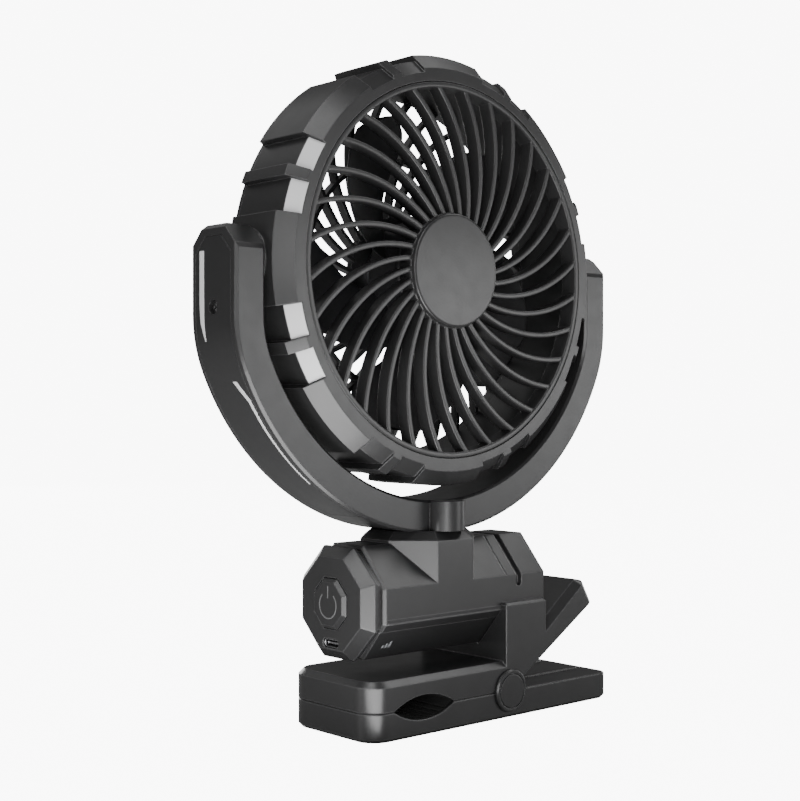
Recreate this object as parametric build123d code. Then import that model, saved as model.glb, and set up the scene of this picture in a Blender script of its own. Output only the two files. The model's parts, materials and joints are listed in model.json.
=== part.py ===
"""Clip-on rechargeable fan: spring clip, octagonal battery barrel, swivel yoke and tilting head.

Millimetres. +Z is up, the fan blows towards -Y, and +X runs along the barrel to the lever's end.
The origin is on the face the clip stands on, below the swivel axis.
"""
import math
import os

from build123d import *

# Cuts run past the faces that they open by this much, and joined solids sink this far into each other
PAST = 1.0

# Clip: two jaws on a hinge pin, opened by squeezing the lever towards the tail
CHEEK_THICKNESS = 3.0
JAW_REACH = 46.0
TAIL_REACH = 88.0
LOWER_JAW_HEIGHT = 11.0
UPPER_JAW_HEIGHT = 11.7
JAW_CORNER_RADIUS = 9.5
TAIL_CORNER_RADIUS = 5.0
JAW_TOP_CHAMFER = 2.2
FOOT_CHAMFER = 1.5
PARTING_CHAMFER = 0.4
TAIL_RIB_Y = 10.5
TAIL_RIB_WIDTH = 1.4
TAIL_RIB_RISE = 0.7
TAIL_RIB_START = 21.0
TAIL_RIB_INSET = 5.0

HINGE_X = 27.2
PIN_RADIUS = 2.5
PIN_CLEARANCE = 0.06
KNUCKLE_RADIUS = 7.6
KNUCKLE_CLEARANCE = 0.6
KNUCKLE_INNER = 6.0
KNUCKLE_OUTER = 12.0
KNUCKLE_END_GAP = 0.3
HINGE_CAP_RADIUS = 8.5
HINGE_CAP_THICKNESS = 1.3
HINGE_CAP_GAP = 0.15
HINGE_CAP_GROOVE_RADIUS = 6.6
HINGE_CAP_GROOVE = 0.5
SPRING_RADIUS = 6.4
SPRING_WIRE = 1.8
SPRING_WIDTH = 11.0
SPRING_LEG = 15.0
SPRING_LEG_SIDE = 4.2
SPRING_LEG_ROOM = 0.4

JAW_LIP = 11.05
EYE_LENGTH = 31.5
EYE_RISE = 4.7
PAD_THICKNESS = 2.2
PAD_MARGIN = 2.0
PAD_CLEARANCE = 0.1
PAD_GROOVE_WIDTH = 1.2
PAD_GROOVE_DEPTH = 1.0
PAD_GROOVE_PITCH = 3.0

CHEEK_BACK = 2.0
CHEEK_LENGTH = 23.2
CHEEK_TOP = 46.0
CHEEK_EDGE = 0.9
LEVER_SLOPE = 32.0
LEVER_REACH = 60.0
LEVER_TIP_HEIGHT = 12.8
LEVER_TIP_LEAN = 30.0
LEVER_ROOT_Z = 36.0
LEVER_ROOT_SINK = 8.0
LEVER_TIP_RADIUS = 4.0
LEVER_WALL = 3.2
LEVER_EDGE = 3.0

# Battery barrel: an eight-sided tube in two shells on the upper jaw
BARREL_HALF = 22.0
BARREL_SIDE_FACET = 13.6
BARREL_TOP_FACET = 18.0
BARREL_RIGHT = 51.3
BARREL_LIFT = 5.3
BARREL_WALL = 2.2
BARREL_RIM_CHAMFER = 1.0
SHELL_SPLIT_DROP = 9.8
LOWER_SHELL_INSET = 0.6
STRAP_SLOT_INSET = 15.8
STRAP_SLOT_WIDTH = 3.2
STRAP_SLOT_DEPTH = 2.4
STRAP_SLOT_RISE = 3.6
COLLAR_RING_WIDTH = 4.6
COLLAR_RING_EDGE = 0.25
BAND_LINE_GAP = 6.9
BAND_LINE_WIDTH = 1.0
BAND_LINE_DEPTH = 0.5
BELT_PROUD = 0.9
BELT_HEIGHT = 1.8
BELT_LAND = 0.5

PEDESTAL_LENGTH = 46.0
PEDESTAL_FRONT = 17.0
PEDESTAL_RISE = 1.0
COLLAR_HEIGHT = 3.4
COLLAR_TAPER = 4.0

# Button end of the barrel
CAP_STEP = 0.6
CAP_LENGTH = 8.0
CAP_BEVEL = 3.9
CAP_RIM = 1.2
CAP_NECK_STEP = 2.0
CAP_SPIGOT = 4.0
CAP_CLEARANCE = 0.15
CAP_WALL = 2.2
CAP_FACE = 2.5
BUTTON_HALF = 9.5
BUTTON_CLEARANCE = 0.3
BUTTON_PROUD = 1.5
BUTTON_EDGE = 1.3
BUTTON_FLANGE = 1.5
BUTTON_FLANGE_THICKNESS = 1.0
BUTTON_BACK_GAP = 0.2
BUTTON_PLUNGER_RADIUS = 3.0
BUTTON_PLUNGER = 1.5
BUTTON_TRAVEL = 0.5
SWITCH_GAP = 0.2
SWITCH_SIDE = 6.0
SWITCH_HEIGHT = 2.0
SWITCH_STEM_RADIUS = 1.75
SWITCH_STEM = 0.4
BUTTON_BOARD_Y = 23.0
BUTTON_BOARD_Z = 20.0
BOARD_THICKNESS = 1.6
BOARD_POST_RADIUS = 1.5

# Cells and charging board
CELL_RADIUS = 9.2
CELL_LENGTH = 65.0
CELL_PITCH = 18.8
CELL_END_GAP = 1.5
CELL_CLEARANCE = 0.15
TRAY_HEIGHT = 9.0
TRAY_DROP = 13.0
CHARGE_BOARD_LENGTH = 62.0
CHARGE_BOARD_WIDTH = 16.0
CHARGE_BOARD_GAP = 0.8
LEDGE_X = 9.0
LEDGE_PITCH = 31.0
LEDGE_LENGTH = 8.0
LEDGE_WIDTH = 8.0
BOARD_NOTCH_ROOM = 0.4
USB_WIDTH = 9.0
USB_HEIGHT = 3.2
USB_DEPTH = 7.6
USB_CLEARANCE = 0.2
USB_INSET = 0.6
USB_WALL = 0.35
USB_TONGUE_INSET = 1.0
SCREW_INSET = 8.3
SCREW_Y = 5.6
SCREW_RADIUS = 1.4
SCREW_HEAD_RADIUS = 2.6
SCREW_HEAD_HEIGHT = 2.0
SCREW_BOSS_RADIUS = 3.4
SCREW_LENGTH = 20.0
SCREW_CLEARANCE = 0.05
LENS_WIDTH = 0.9
LENS_HEIGHT = 1.3
LENS_HEIGHT_STEP = 0.9
LENS_INSET = 7.0
LENS_DROP = 14.0
LENS_PITCH = 1.6
LENS_COUNT = 3
LENS_CLEARANCE = 0.05

# Yoke: a U about the fan's axis, hollow along its arms, under two outer covers
YOKE_DEPTH = 28.0
YOKE_GAP = 1.7
YOKE_THICKNESS = 12.8
YOKE_ARM_INSET = 4.1
YOKE_BLEND = 40.0
YOKE_ARM_RISE = 12.2
YOKE_ARM_CHAMFER = 8.0
YOKE_EDGE = 1.0
YOKE_TOP_EDGE = 1.6
YOKE_FOOT_FLAT = 1.2
STEM_RADIUS = 7.0
STEM_Y = -16.8
COVER_WIDTH = 22.0
COVER_THICKNESS = 2.4
COVER_CLEARANCE = 0.15
COVER_TOP_DROP = 4.2
COVER_CORNER = 6.0
COVER_END_X = 40.0
CHANNEL_WIDTH = 16.0
CHANNEL_FLOOR = 2.6
COVER_SCREW_DROP = 17.4
COVER_SCREW_SINK = 2.2
COVER_SCREW_HEAD = 0.8
# Strip outlines: across the arm from the cover's edge and down from its top, then from the arm's middle
# and down from the fan's axis
UPRIGHT_STRIP = ((2.5, 5.0), (5.2, 5.0), (5.4, 37.6), (4.9, 37.6), (3.1, 31.0), (2.5, 24.0))
BENT_STRIP = ((-3.8, 44.0), (-6.2, 44.0), (-9.9, 50.4), (-10.3, 81.4), (-9.6, 81.4), (-8.3, 51.4))
ACCENT_DEPTH = 0.8
ACCENT_PROUD = 0.1
POST_RADIUS = 7.0
POST_BORE = 4.5
POST_CLEARANCE = 0.08
POST_SEAT = 7.6
POST_DROP = 11.4
RETAINER_RADIUS = 11.5
RETAINER_THICKNESS = 3.4
RETAINER_GAP = 0.1
RETAINER_ROOM = 0.5
SWIVEL_PLATE = 6.4

# Tilting pivots
PIVOT_RADIUS = 3.0
PIVOT_CLEARANCE = 0.06
PIVOT_DEPTH = 10.0
PIVOT_HEAD_RADIUS = 4.8
PIVOT_HEAD = 2.4
PIVOT_HEAD_GAP = 0.1
PIVOT_HEAD_ROOM = 0.4
PIVOT_PAD_RADIUS = 11.9
PIVOT_PAD_PROUD = 0.5
WASHER_RADIUS = 11.7

# Fan head, seen from the front: radii about the fan's axis, depths from the pivot's plane
RING_FACE = 5.0
RING_FLOOR = 2.5
RING_BEVEL = 5.8
FLOOR_BEVEL = 5.0
FRONT_GAP = 1.8
RING_REAR = 11.0
RING_WALL = 2.2
DUCT_RADIUS = 72.0
DUCT_WALL = 2.0
TREAD_COUNT = 8
BLOCK_ANGLE = 23.4
RIB_ANGLE = 3.2
INSERT_THICKNESS = 0.8
INSERT_MARGIN = 0.25

GRILLE_LEDGE = 1.4
GRILLE_CLEARANCE = 0.2
GRILLE_DEPTH = 7.4
GRILLE_RIM = 2.3
GRILLE_RIB_COUNT = 32
GRILLE_RIB_PHASE = 6.3
GRILLE_RIB_WIDTH = 2.0
GRILLE_RIB_DEPTH = 6.0
GRILLE_RIB_SET = 1.0
GRILLE_RIB_SWEEP = 27.9
GRILLE_RIB_BEND = 11.0
GRILLE_BEND_RADIUS = 40.6
HUB_OVERHANG = 1.6
HUB_CAP_HEIGHT = 2.0
HUB_CAP_STEP = 0.4
HUB_CAP_EDGE = 0.6
HUB_SPIGOT_RADIUS = 10.0
HUB_SPIGOT = 2.0
HUB_SPIGOT_CLEARANCE = 0.1

REAR_DEPTH = 5.0
REAR_BEVEL = 3.4
REAR_SPIGOT = 3.0
REAR_SPIGOT_CLEARANCE = 0.3
REAR_RIB_COUNT = 32
REAR_RIB_PHASE = 4.7
REAR_RIB_WIDTH = 1.7
REAR_RIB_DEPTH = 4.0
REAR_RIB_SWEEP = 28.7
REAR_RIB_BEND = 13.8
REAR_HOOP_RADIUS = 47.0
REAR_CUP_MARGIN = 8.0
REAR_CUP = 3.0
REAR_SCREW_COUNT = 4
REAR_SCREW_LENGTH = 8.0
REAR_SCREW_HEAD = 1.2

MOTOR_RADIUS = 16.0
MOTOR_LENGTH = 20.0
MOTOR_EDGE = 1.2
MOTOR_SCREW_CIRCLE = 10.0
MOTOR_SCREW_COUNT = 3
MOTOR_SCREW_SINK = 1.5
MOTOR_SCREW_HEAD = 1.0
SHAFT_RADIUS = 1.5
SHAFT_CLEARANCE = 0.05
SHAFT_PROUD = 0.5
SHAFT_TAIL = 3.5
SHAFT_END_ROOM = 0.5
TIP_CLEARANCE = 8.4
MOTOR_AIR = 1.6
IMPELLER_HUB_WALL = 3.4
MOTOR_GAP = 2.5
IMPELLER_HUB_REAR = 6.0
IMPELLER_PLATE = 2.5
IMPELLER_BOSS_GAP = 0.6
IMPELLER_BOSS_RADIUS = 4.0
IMPELLER_BORE_CLEARANCE = 0.02
BLADE_COUNT = 5
BLADE_PHASE = 8.7
BLADE_ROOT_SET = 0.4
BLADE_THICKNESS = 1.8
BLADE_ROOT_CHORD = 17.0
BLADE_INNER_CHORD = 38.0
BLADE_OUTER_CHORD = 50.0
BLADE_TIP_CHORD = 20.0
BLADE_ROOT_PITCH = 39.0
BLADE_INNER_PITCH = 23.0
BLADE_OUTER_PITCH = 15.0
BLADE_TIP_PITCH = 13.0
BLADE_INNER_SWEEP = 16.0
BLADE_OUTER_SWEEP = 33.0
BLADE_TIP_SWEEP = 42.0

# Sizes and places that follow from the sizes above
CLIP_HALF = BARREL_HALF + CHEEK_THICKNESS
CLIP_WIDTH = 2 * CLIP_HALF
JAW_TOP = LOWER_JAW_HEIGHT + UPPER_JAW_HEIGHT
EYE_X = JAW_LIP + EYE_LENGTH / 2 - JAW_REACH
HINGE = (HINGE_X, LOWER_JAW_HEIGHT)
POCKET_RADIUS = KNUCKLE_RADIUS + KNUCKLE_CLEARANCE
CHEEK_LEFT = HINGE_X - CHEEK_BACK
CHEEK_RIGHT = CHEEK_LEFT + CHEEK_LENGTH
SLOPE = math.radians(LEVER_SLOPE)

BARREL_Z = JAW_TOP + BARREL_LIFT + BARREL_HALF
SPLIT_Z = BARREL_Z - SHELL_SPLIT_DROP
STRAP_SLOT_X = BARREL_RIGHT - STRAP_SLOT_INSET
BAND_LINE_X = STRAP_SLOT_X - BAND_LINE_GAP
COLLAR_RING_X = STRAP_SLOT_X - STRAP_SLOT_WIDTH / 2 - COLLAR_RING_EDGE
CELL_LEFT = CELL_LENGTH + CELL_CLEARANCE - COLLAR_RING_X
BARREL_LEFT = CELL_LEFT + CELL_END_GAP + CAP_SPIGOT
SCREW_X = BARREL_RIGHT - SCREW_INSET
LENS_X = LENS_INSET - BARREL_LEFT
CAP_FACE_X = -BARREL_LEFT - CAP_LENGTH
CAP_HALF = BARREL_HALF - CAP_STEP
CAP_NECK_HALF = BARREL_HALF - CAP_NECK_STEP
PEDESTAL_TOP = BARREL_Z + BARREL_HALF + PEDESTAL_RISE
SWIVEL_Z = PEDESTAL_TOP + COLLAR_HEIGHT

REAR_FACE = RING_REAR + REAR_DEPTH
MOTOR_REAR = -REAR_FACE + REAR_CUP
IMPELLER_HUB_FRONT = MOTOR_REAR + MOTOR_LENGTH + MOTOR_GAP + IMPELLER_PLATE
IMPELLER_HUB_RADIUS = MOTOR_RADIUS + MOTOR_AIR + IMPELLER_HUB_WALL
IMPELLER_RADIUS = DUCT_RADIUS - TIP_CLEARANCE
SHAFT_LENGTH = IMPELLER_HUB_FRONT + SHAFT_PROUD - MOTOR_REAR - SHAFT_TAIL
REAR_CUP_RADIUS = MOTOR_RADIUS + REAR_CUP_MARGIN
HUB_RADIUS = IMPELLER_HUB_RADIUS + HUB_OVERHANG
GRILLE_SEAT_RADIUS = DUCT_RADIUS + GRILLE_LEDGE
RING_FRONT = IMPELLER_HUB_FRONT + FRONT_GAP + GRILLE_DEPTH
RING_RADIUS = GRILLE_SEAT_RADIUS + RING_FACE + RING_BEVEL
FLOOR_RADIUS = RING_RADIUS - RING_FLOOR
TREAD_PITCH = 360.0 / TREAD_COUNT
RECESS_ANGLE = (TREAD_PITCH - BLOCK_ANGLE - RIB_ANGLE) / 2

ARM_INNER_X = RING_RADIUS + YOKE_GAP
ARM_OUTER_X = ARM_INNER_X + YOKE_THICKNESS
YOKE_INNER_RADIUS = ARM_INNER_X + YOKE_ARM_INSET
YOKE_OUTER_RADIUS = ARM_OUTER_X + YOKE_ARM_INSET
HEAD_Z = SWIVEL_Z - YOKE_FOOT_FLAT + YOKE_OUTER_RADIUS
YOKE_TOP = HEAD_Z + YOKE_ARM_RISE
HEAD = Pos(0, 0, HEAD_Z) * Rot(90, 0, 0)


def polygon(points):
    """Flat face inside a closed run of straight lines."""
    return make_face(Polyline(*points, close=True))


def slab_x(face, x0, x1):
    """Prism along X from a face drawn in Y and Z."""
    return extrude(Plane.YZ.offset(x0) * face, amount=x1 - x0)


def slab_y(face, y0, y1):
    """Prism along Y from a face drawn in X and Z."""
    plane = Plane(origin=(0, y0, 0), x_dir=(1, 0, 0), z_dir=(0, -1, 0))
    return extrude(plane * face, amount=y0 - y1)


def slab_z(face, z0, z1):
    """Prism along Z from a face drawn in X and Y."""
    return extrude(Plane.XY.offset(z0) * face, amount=z1 - z0)


def block(x0, x1, y0, y1, z0, z1):
    """Box between two corners."""
    return Pos((x0 + x1) / 2, (y0 + y1) / 2, (z0 + z1) / 2) * Box(x1 - x0, y1 - y0, z1 - z0)


def rod(start, direction, radius, length):
    """Round bar from a point along a direction."""
    return extrude(Plane(origin=start, z_dir=direction) * Circle(radius), amount=length)


def turned(points):
    """Body of revolution about Z from (radius, height) points."""
    return revolve(Plane.XZ * polygon(points), Axis.Z)


def octagon(half_y, half_z, side, top):
    """Eight-sided face, with its vertical sides and its top and bottom of given lengths."""
    quarter = [(half_y, side / 2), (top / 2, half_z)]
    upper = quarter + [(-y, z) for y, z in reversed(quarter)]
    return polygon(upper + [(-y, -z) for y, z in upper])


def regular_octagon(half):
    """Regular eight-sided face with flats on its sides."""
    flat = 2 * half * math.tan(math.pi / 8)
    return octagon(half, half, flat, flat)


def barrel_section(inset):
    """The barrel's section, drawn in from its outside by a given wall."""
    shrink = 2 * inset * math.tan(math.pi / 8)
    half = BARREL_HALF - inset
    face = octagon(half, half, BARREL_SIDE_FACET - shrink, BARREL_TOP_FACET - shrink)
    return Pos(0, BARREL_Z) * face


def hinge_disc(radius, y0, y1):
    """Disc about the clip's hinge axis."""
    return rod((HINGE_X, y0, LOWER_JAW_HEIGHT), (0, 1, 0), radius, y1 - y0)


def on_both_sides(make, inner, outer):
    """A shape between two distances from the middle plane, on the front and on the back."""
    return make(-outer, -inner) + make(inner, outer)


def jaw_plate(right, z0, z1, right_radius):
    """Flat plate of the clip with a round mouth end."""
    face = polygon([
        (-JAW_REACH, -CLIP_HALF),
        (right, -CLIP_HALF),
        (right, CLIP_HALF),
        (-JAW_REACH, CLIP_HALF),
    ])
    corners = face.vertices().sort_by(Axis.X)
    face = fillet(corners[:2], JAW_CORNER_RADIUS)
    if right_radius:
        face = fillet(face.vertices().sort_by(Axis.X)[-2:], right_radius)
    return slab_z(face, z0, z1)


def lens(grow):
    """The eye between the jaws: two equal arcs, grown by a margin."""
    half = EYE_LENGTH / 2
    radius = (half**2 + EYE_RISE**2) / (2 * EYE_RISE)
    drop = radius - EYE_RISE
    upper = Pos(EYE_X, LOWER_JAW_HEIGHT - drop) * Circle(radius + grow)
    lower = Pos(EYE_X, LOWER_JAW_HEIGHT + drop) * Circle(radius + grow)
    return upper & lower


def pad_grooves():
    """Slots across the pads, even along the eye."""
    count = int(EYE_LENGTH / PAD_GROOVE_PITCH) - 2
    first = EYE_X - PAD_GROOVE_PITCH * (count - 1) / 2
    reach = EYE_RISE + PAD_THICKNESS
    half = CLIP_HALF - PAD_MARGIN
    slots = [
        block(
            first + i * PAD_GROOVE_PITCH - PAD_GROOVE_WIDTH / 2,
            first + i * PAD_GROOVE_PITCH + PAD_GROOVE_WIDTH / 2,
            -half, half, LOWER_JAW_HEIGHT - reach, LOWER_JAW_HEIGHT + reach,
        )
        for i in range(count)
    ]
    keep = slab_y(lens(PAD_GROOVE_DEPTH), -half, half)
    return Part() + [slot & keep for slot in slots]


def jaw_pad(below):
    """Rubber lining of half of the eye."""
    half = CLIP_HALF - PAD_MARGIN - PAD_CLEARANCE
    skin = lens(PAD_THICKNESS - PAD_CLEARANCE) - lens(0)
    pad = slab_y(skin, -half, half) - pad_grooves()
    room = EYE_LENGTH
    side = -room if below else 0
    return pad & block(
        EYE_X - room, EYE_X + room, -half, half,
        LOWER_JAW_HEIGHT + side, LOWER_JAW_HEIGHT + side + room,
    )


def eye_cut():
    """What the eye and the pads' pocket take out of the jaws."""
    half = CLIP_HALF - PAD_MARGIN
    through = slab_y(lens(0), -CLIP_WIDTH, CLIP_WIDTH)
    return through + slab_y(lens(PAD_THICKNESS), -half, half)


def tail_rib(y):
    """Low ridge along the tail's top, from behind the hinge to near the tail's end."""
    half = TAIL_RIB_WIDTH / 2
    foot = LOWER_JAW_HEIGHT - PAST
    profile = polygon([
        (y - half, foot),
        (y + half, foot),
        (y + half, LOWER_JAW_HEIGHT),
        (y, LOWER_JAW_HEIGHT + TAIL_RIB_RISE),
        (y - half, LOWER_JAW_HEIGHT),
    ])
    return slab_x(profile, HINGE_X + TAIL_RIB_START, TAIL_REACH - TAIL_RIB_INSET)


def lower_jaw():
    """Clip's lower half, with the outer hinge knuckles and the tail."""
    plate = jaw_plate(TAIL_REACH, 0, LOWER_JAW_HEIGHT, TAIL_CORNER_RADIUS)
    plate = chamfer(plate.faces().sort_by(Axis.Z)[0].edges(), FOOT_CHAMFER)
    plate = chamfer(plate.faces().sort_by(Axis.Z)[-1].edges(), PARTING_CHAMFER)
    plate += tail_rib(TAIL_RIB_Y) + tail_rib(-TAIL_RIB_Y)
    plate -= eye_cut()
    knuckle_face = KNUCKLE_OUTER + KNUCKLE_END_GAP
    plate -= hinge_disc(POCKET_RADIUS, -knuckle_face, knuckle_face)
    plate += on_both_sides(lambda a, b: hinge_disc(KNUCKLE_RADIUS, a, b), knuckle_face, CLIP_HALF)
    plate -= hinge_disc(PIN_RADIUS + PIN_CLEARANCE, -CLIP_WIDTH, CLIP_WIDTH)
    return plate - spring_leg_room(0, 1)


def spring_leg_room(slope, side):
    """Slot in a jaw for one leg of the spring, which leaves the coil along a slope."""
    wide = SPRING_WIRE / 2 + SPRING_LEG_ROOM
    deep = SPRING_RADIUS + SPRING_LEG_ROOM
    y = side * SPRING_LEG_SIDE
    low = -deep if side > 0 else 0
    slot = block(0, SPRING_LEG + SPRING_LEG_ROOM, y - wide, y + wide, low, low + deep)
    return Pos(HINGE_X, 0, LOWER_JAW_HEIGHT) * Rot(0, -slope, 0) * slot


def clip_spring():
    """Torsion spring round the pin: coiled body and two legs, one under each half of the clip."""
    half = SPRING_WIDTH / 2
    coil = hinge_disc(SPRING_RADIUS, -half, half)
    coil -= hinge_disc(SPRING_RADIUS - SPRING_WIRE, -half, half)
    wire = SPRING_WIRE / 2
    reach = SPRING_RADIUS - wire
    lower = rod((0, SPRING_LEG_SIDE, -reach), (1, 0, 0), wire, SPRING_LEG)
    upper = rod((0, -SPRING_LEG_SIDE, reach), (1, 0, 0), wire, SPRING_LEG)
    place = Pos(HINGE_X, 0, LOWER_JAW_HEIGHT)
    return coil + place * lower + place * Rot(0, -LEVER_SLOPE, 0) * upper


def lever_outline():
    """Side view of the lever and its root, from the hinge to the tip."""
    heel = HINGE
    tip_low = along(heel, LEVER_SLOPE, LEVER_REACH)
    tip_top = along(tip_low, 90 + LEVER_TIP_LEAN, LEVER_TIP_HEIGHT)
    root = (CHEEK_RIGHT, LEVER_ROOT_Z)
    return heel, tip_low, tip_top, root


def along(start, angle, length):
    """Point at a length from another, at an angle in degrees."""
    turn = math.radians(angle)
    return start[0] + length * math.cos(turn), start[1] + length * math.sin(turn)


def lever():
    """Lever plate with bevelled top edges and a round tip, open underneath."""
    heel, tip_low, tip_top, root = lever_outline()
    top_slope = math.atan2(tip_top[1] - root[1], tip_top[0] - root[0])
    sunk = along(root, math.degrees(top_slope), -LEVER_ROOT_SINK)
    outline = polygon([heel, tip_low, tip_top, sunk, (CHEEK_LEFT, sunk[1]), (CHEEK_LEFT, heel[1])])
    body = slab_y(outline, -CLIP_HALF, CLIP_HALF)
    tip_face = body.faces().sort_by_distance((tip_low[0], 0, tip_top[1]))[0]
    tip_sides = tip_face.edges().group_by(Axis.Y)
    body = fillet(tip_sides[0] + tip_sides[-1], LEVER_TIP_RADIUS)
    middle = ((sunk[0] + tip_top[0]) / 2, 0, (sunk[1] + tip_top[1]) / 2)
    top_face = body.faces().sort_by_distance(middle)[0]
    body = chamfer(top_face.edges().sort_by(Axis.X)[1:], LEVER_EDGE)
    inner = CLIP_HALF - LEVER_WALL
    lift = LEVER_WALL / math.cos(top_slope)
    left = CHEEK_RIGHT + LEVER_WALL
    right = along(heel, LEVER_SLOPE, LEVER_REACH - LEVER_WALL)
    hollow = polygon([
        (left, LOWER_JAW_HEIGHT + (left - HINGE_X) * math.tan(SLOPE) - LEVER_WALL),
        (right[0], right[1] - LEVER_WALL),
        (tip_top[0] - LEVER_WALL / 2, tip_top[1] - lift - LEVER_WALL / 2 * math.tan(top_slope)),
        (left, root[1] + LEVER_WALL * math.tan(top_slope) - lift),
    ])
    return body - slab_y(hollow, -inner, inner)


def upper_clamp():
    """Clip's upper half: jaw, cheeks beside the barrel, saddle under it, lever and inner knuckles."""
    jaw = jaw_plate(CHEEK_LEFT + JAW_TOP_CHAMFER, LOWER_JAW_HEIGHT, JAW_TOP, 0)
    jaw = chamfer(jaw.faces().sort_by(Axis.Z)[-1].edges(), JAW_TOP_CHAMFER)
    jaw = chamfer(jaw.faces().sort_by(Axis.Z)[0].edges(), PARTING_CHAMFER)
    cheek_foot = LEVER_ROOT_Z - LEVER_ROOT_SINK
    cheek = block(CHEEK_LEFT, CHEEK_RIGHT, -CLIP_HALF, CLIP_HALF, cheek_foot, CHEEK_TOP)
    cheek = chamfer(cheek.faces().sort_by(Axis.Z)[-1].edges(), CHEEK_EDGE)
    saddle_half = BARREL_TOP_FACET / 2
    saddle_right = HINGE_X + (UPPER_JAW_HEIGHT - PAST) / math.tan(SLOPE)
    saddle = block(CHEEK_LEFT, saddle_right, -saddle_half, saddle_half, JAW_TOP - PAST, BARREL_Z)
    clamp = jaw + cheek + lever() + saddle
    clamp -= slab_x(barrel_section(0), -BARREL_LEFT - CAP_LENGTH, BARREL_RIGHT)
    saddle_gap = LOWER_SHELL_INSET
    clamp += block(
        CHEEK_LEFT, saddle_right, -saddle_half + saddle_gap, saddle_half - saddle_gap,
        JAW_TOP - PAST, BARREL_Z - BARREL_HALF + saddle_gap,
    )
    clamp -= eye_cut()
    knuckle_face = KNUCKLE_OUTER + KNUCKLE_END_GAP
    clamp -= on_both_sides(lambda a, b: hinge_disc(POCKET_RADIUS, a, b), KNUCKLE_OUTER, CLIP_WIDTH)
    clamp -= hinge_disc(POCKET_RADIUS, -KNUCKLE_INNER, KNUCKLE_INNER)
    clamp += on_both_sides(lambda a, b: hinge_disc(KNUCKLE_RADIUS, a, b), KNUCKLE_INNER, KNUCKLE_OUTER)
    clamp -= hinge_disc(PIN_RADIUS + PIN_CLEARANCE, -knuckle_face, knuckle_face)
    return clamp - spring_leg_room(LEVER_SLOPE, -1)


def hinge_caps():
    """Round caps on the pin's two ends, each with a ring groove."""
    def cap(side):
        y0 = CLIP_HALF + HINGE_CAP_GAP
        y1 = y0 + HINGE_CAP_THICKNESS
        disc = hinge_disc(HINGE_CAP_RADIUS, y0, y1)
        disc = chamfer(disc.faces().sort_by(Axis.Y)[-1].edges(), HINGE_CAP_GROOVE)
        groove = hinge_disc(HINGE_CAP_GROOVE_RADIUS + HINGE_CAP_GROOVE, y1 - HINGE_CAP_GROOVE, y1)
        disc -= groove - hinge_disc(HINGE_CAP_GROOVE_RADIUS, y1 - HINGE_CAP_GROOVE, y1)
        disc -= hinge_disc(PIN_RADIUS + PIN_CLEARANCE, y0, y0 + HINGE_CAP_THICKNESS / 2)
        return disc if side > 0 else mirror(disc, Plane.XZ)
    return [cap(-1), cap(1)]


def hinge_pin():
    """Steel pin through the knuckles and into both caps."""
    half = CLIP_HALF + HINGE_CAP_GAP + HINGE_CAP_THICKNESS / 2 - PIN_CLEARANCE
    return hinge_disc(PIN_RADIUS, -half, half)


def pedestal():
    """Eight-sided block under the swivel, tapered to a collar at its top."""
    chamfer_run = BARREL_HALF - PEDESTAL_FRONT / 2
    half_x = PEDESTAL_LENGTH / 2
    quarter = [(half_x, BARREL_HALF - chamfer_run), (half_x - chamfer_run, BARREL_HALF)]
    upper = quarter + [(-x, y) for x, y in reversed(quarter)]
    outline = polygon(upper + [(-x, -y) for x, y in upper])
    base = slab_z(outline, BARREL_Z, PEDESTAL_TOP)
    shrink = 1 - COLLAR_TAPER / BARREL_HALF
    collar = loft([
        Plane.XY.offset(PEDESTAL_TOP) * outline,
        Plane.XY.offset(SWIVEL_Z) * scale(outline, shrink),
    ], ruled=True)
    return base + collar


def strap_slot():
    """Groove over the barrel near the lever's end, with round ends on the two side facets."""
    half = STRAP_SLOT_WIDTH / 2
    x0 = STRAP_SLOT_X - half
    x1 = STRAP_SLOT_X + half
    hoop = slab_x(barrel_section(-PAST), x0, x1) - slab_x(barrel_section(STRAP_SLOT_DEPTH), x0, x1)
    low = BARREL_Z + STRAP_SLOT_RISE
    far = 2 * BARREL_HALF
    hoop &= block(x0, x1, -far, far, low, low + far)
    end = rod((STRAP_SLOT_X, -far, low), (0, 1, 0), half, 2 * far)
    end -= slab_x(barrel_section(STRAP_SLOT_DEPTH), x0, x1)
    return hoop + end


def band_line():
    """Fine line over the barrel beside the groove."""
    x0 = BAND_LINE_X - BAND_LINE_WIDTH / 2
    x1 = BAND_LINE_X + BAND_LINE_WIDTH / 2
    hoop = slab_x(barrel_section(-PAST), x0, x1) - slab_x(barrel_section(BAND_LINE_DEPTH), x0, x1)
    far = 2 * BARREL_HALF
    return hoop & block(x0, x1, -far, far, BARREL_Z + BARREL_SIDE_FACET / 2, BARREL_Z + far)


def belt_rails():
    """Thin rails along the lower edges of the barrel's side facets, up to the clip's cheeks."""
    z = BARREL_Z - BARREL_SIDE_FACET / 2
    out = BARREL_HALF + BELT_PROUD
    profile = [
        (BARREL_HALF - PAST, z + BELT_HEIGHT),
        (BARREL_HALF, z + BELT_HEIGHT),
        (out, z + BELT_LAND),
        (out, z),
        (BARREL_HALF - PAST, z),
    ]
    rails = [polygon(profile), polygon([(-y, h) for y, h in profile])]
    return [slab_x(rail, -BARREL_LEFT + BARREL_RIM_CHAMFER, CHEEK_LEFT) for rail in rails]


def barrel_tube(inset):
    """Hollow barrel, closed at the lever's end, with its outside drawn in by an inset."""
    outer = slab_x(barrel_section(inset), -BARREL_LEFT, BARREL_RIGHT)
    outer = chamfer(outer.faces().sort_by(Axis.X)[0].edges(), BARREL_RIM_CHAMFER)
    outer = chamfer(outer.faces().sort_by(Axis.X)[-1].edges(), BARREL_RIM_CHAMFER)
    wall = BARREL_WALL + LOWER_SHELL_INSET
    return outer - slab_x(barrel_section(wall), -BARREL_LEFT, BARREL_RIGHT - BARREL_WALL)


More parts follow.
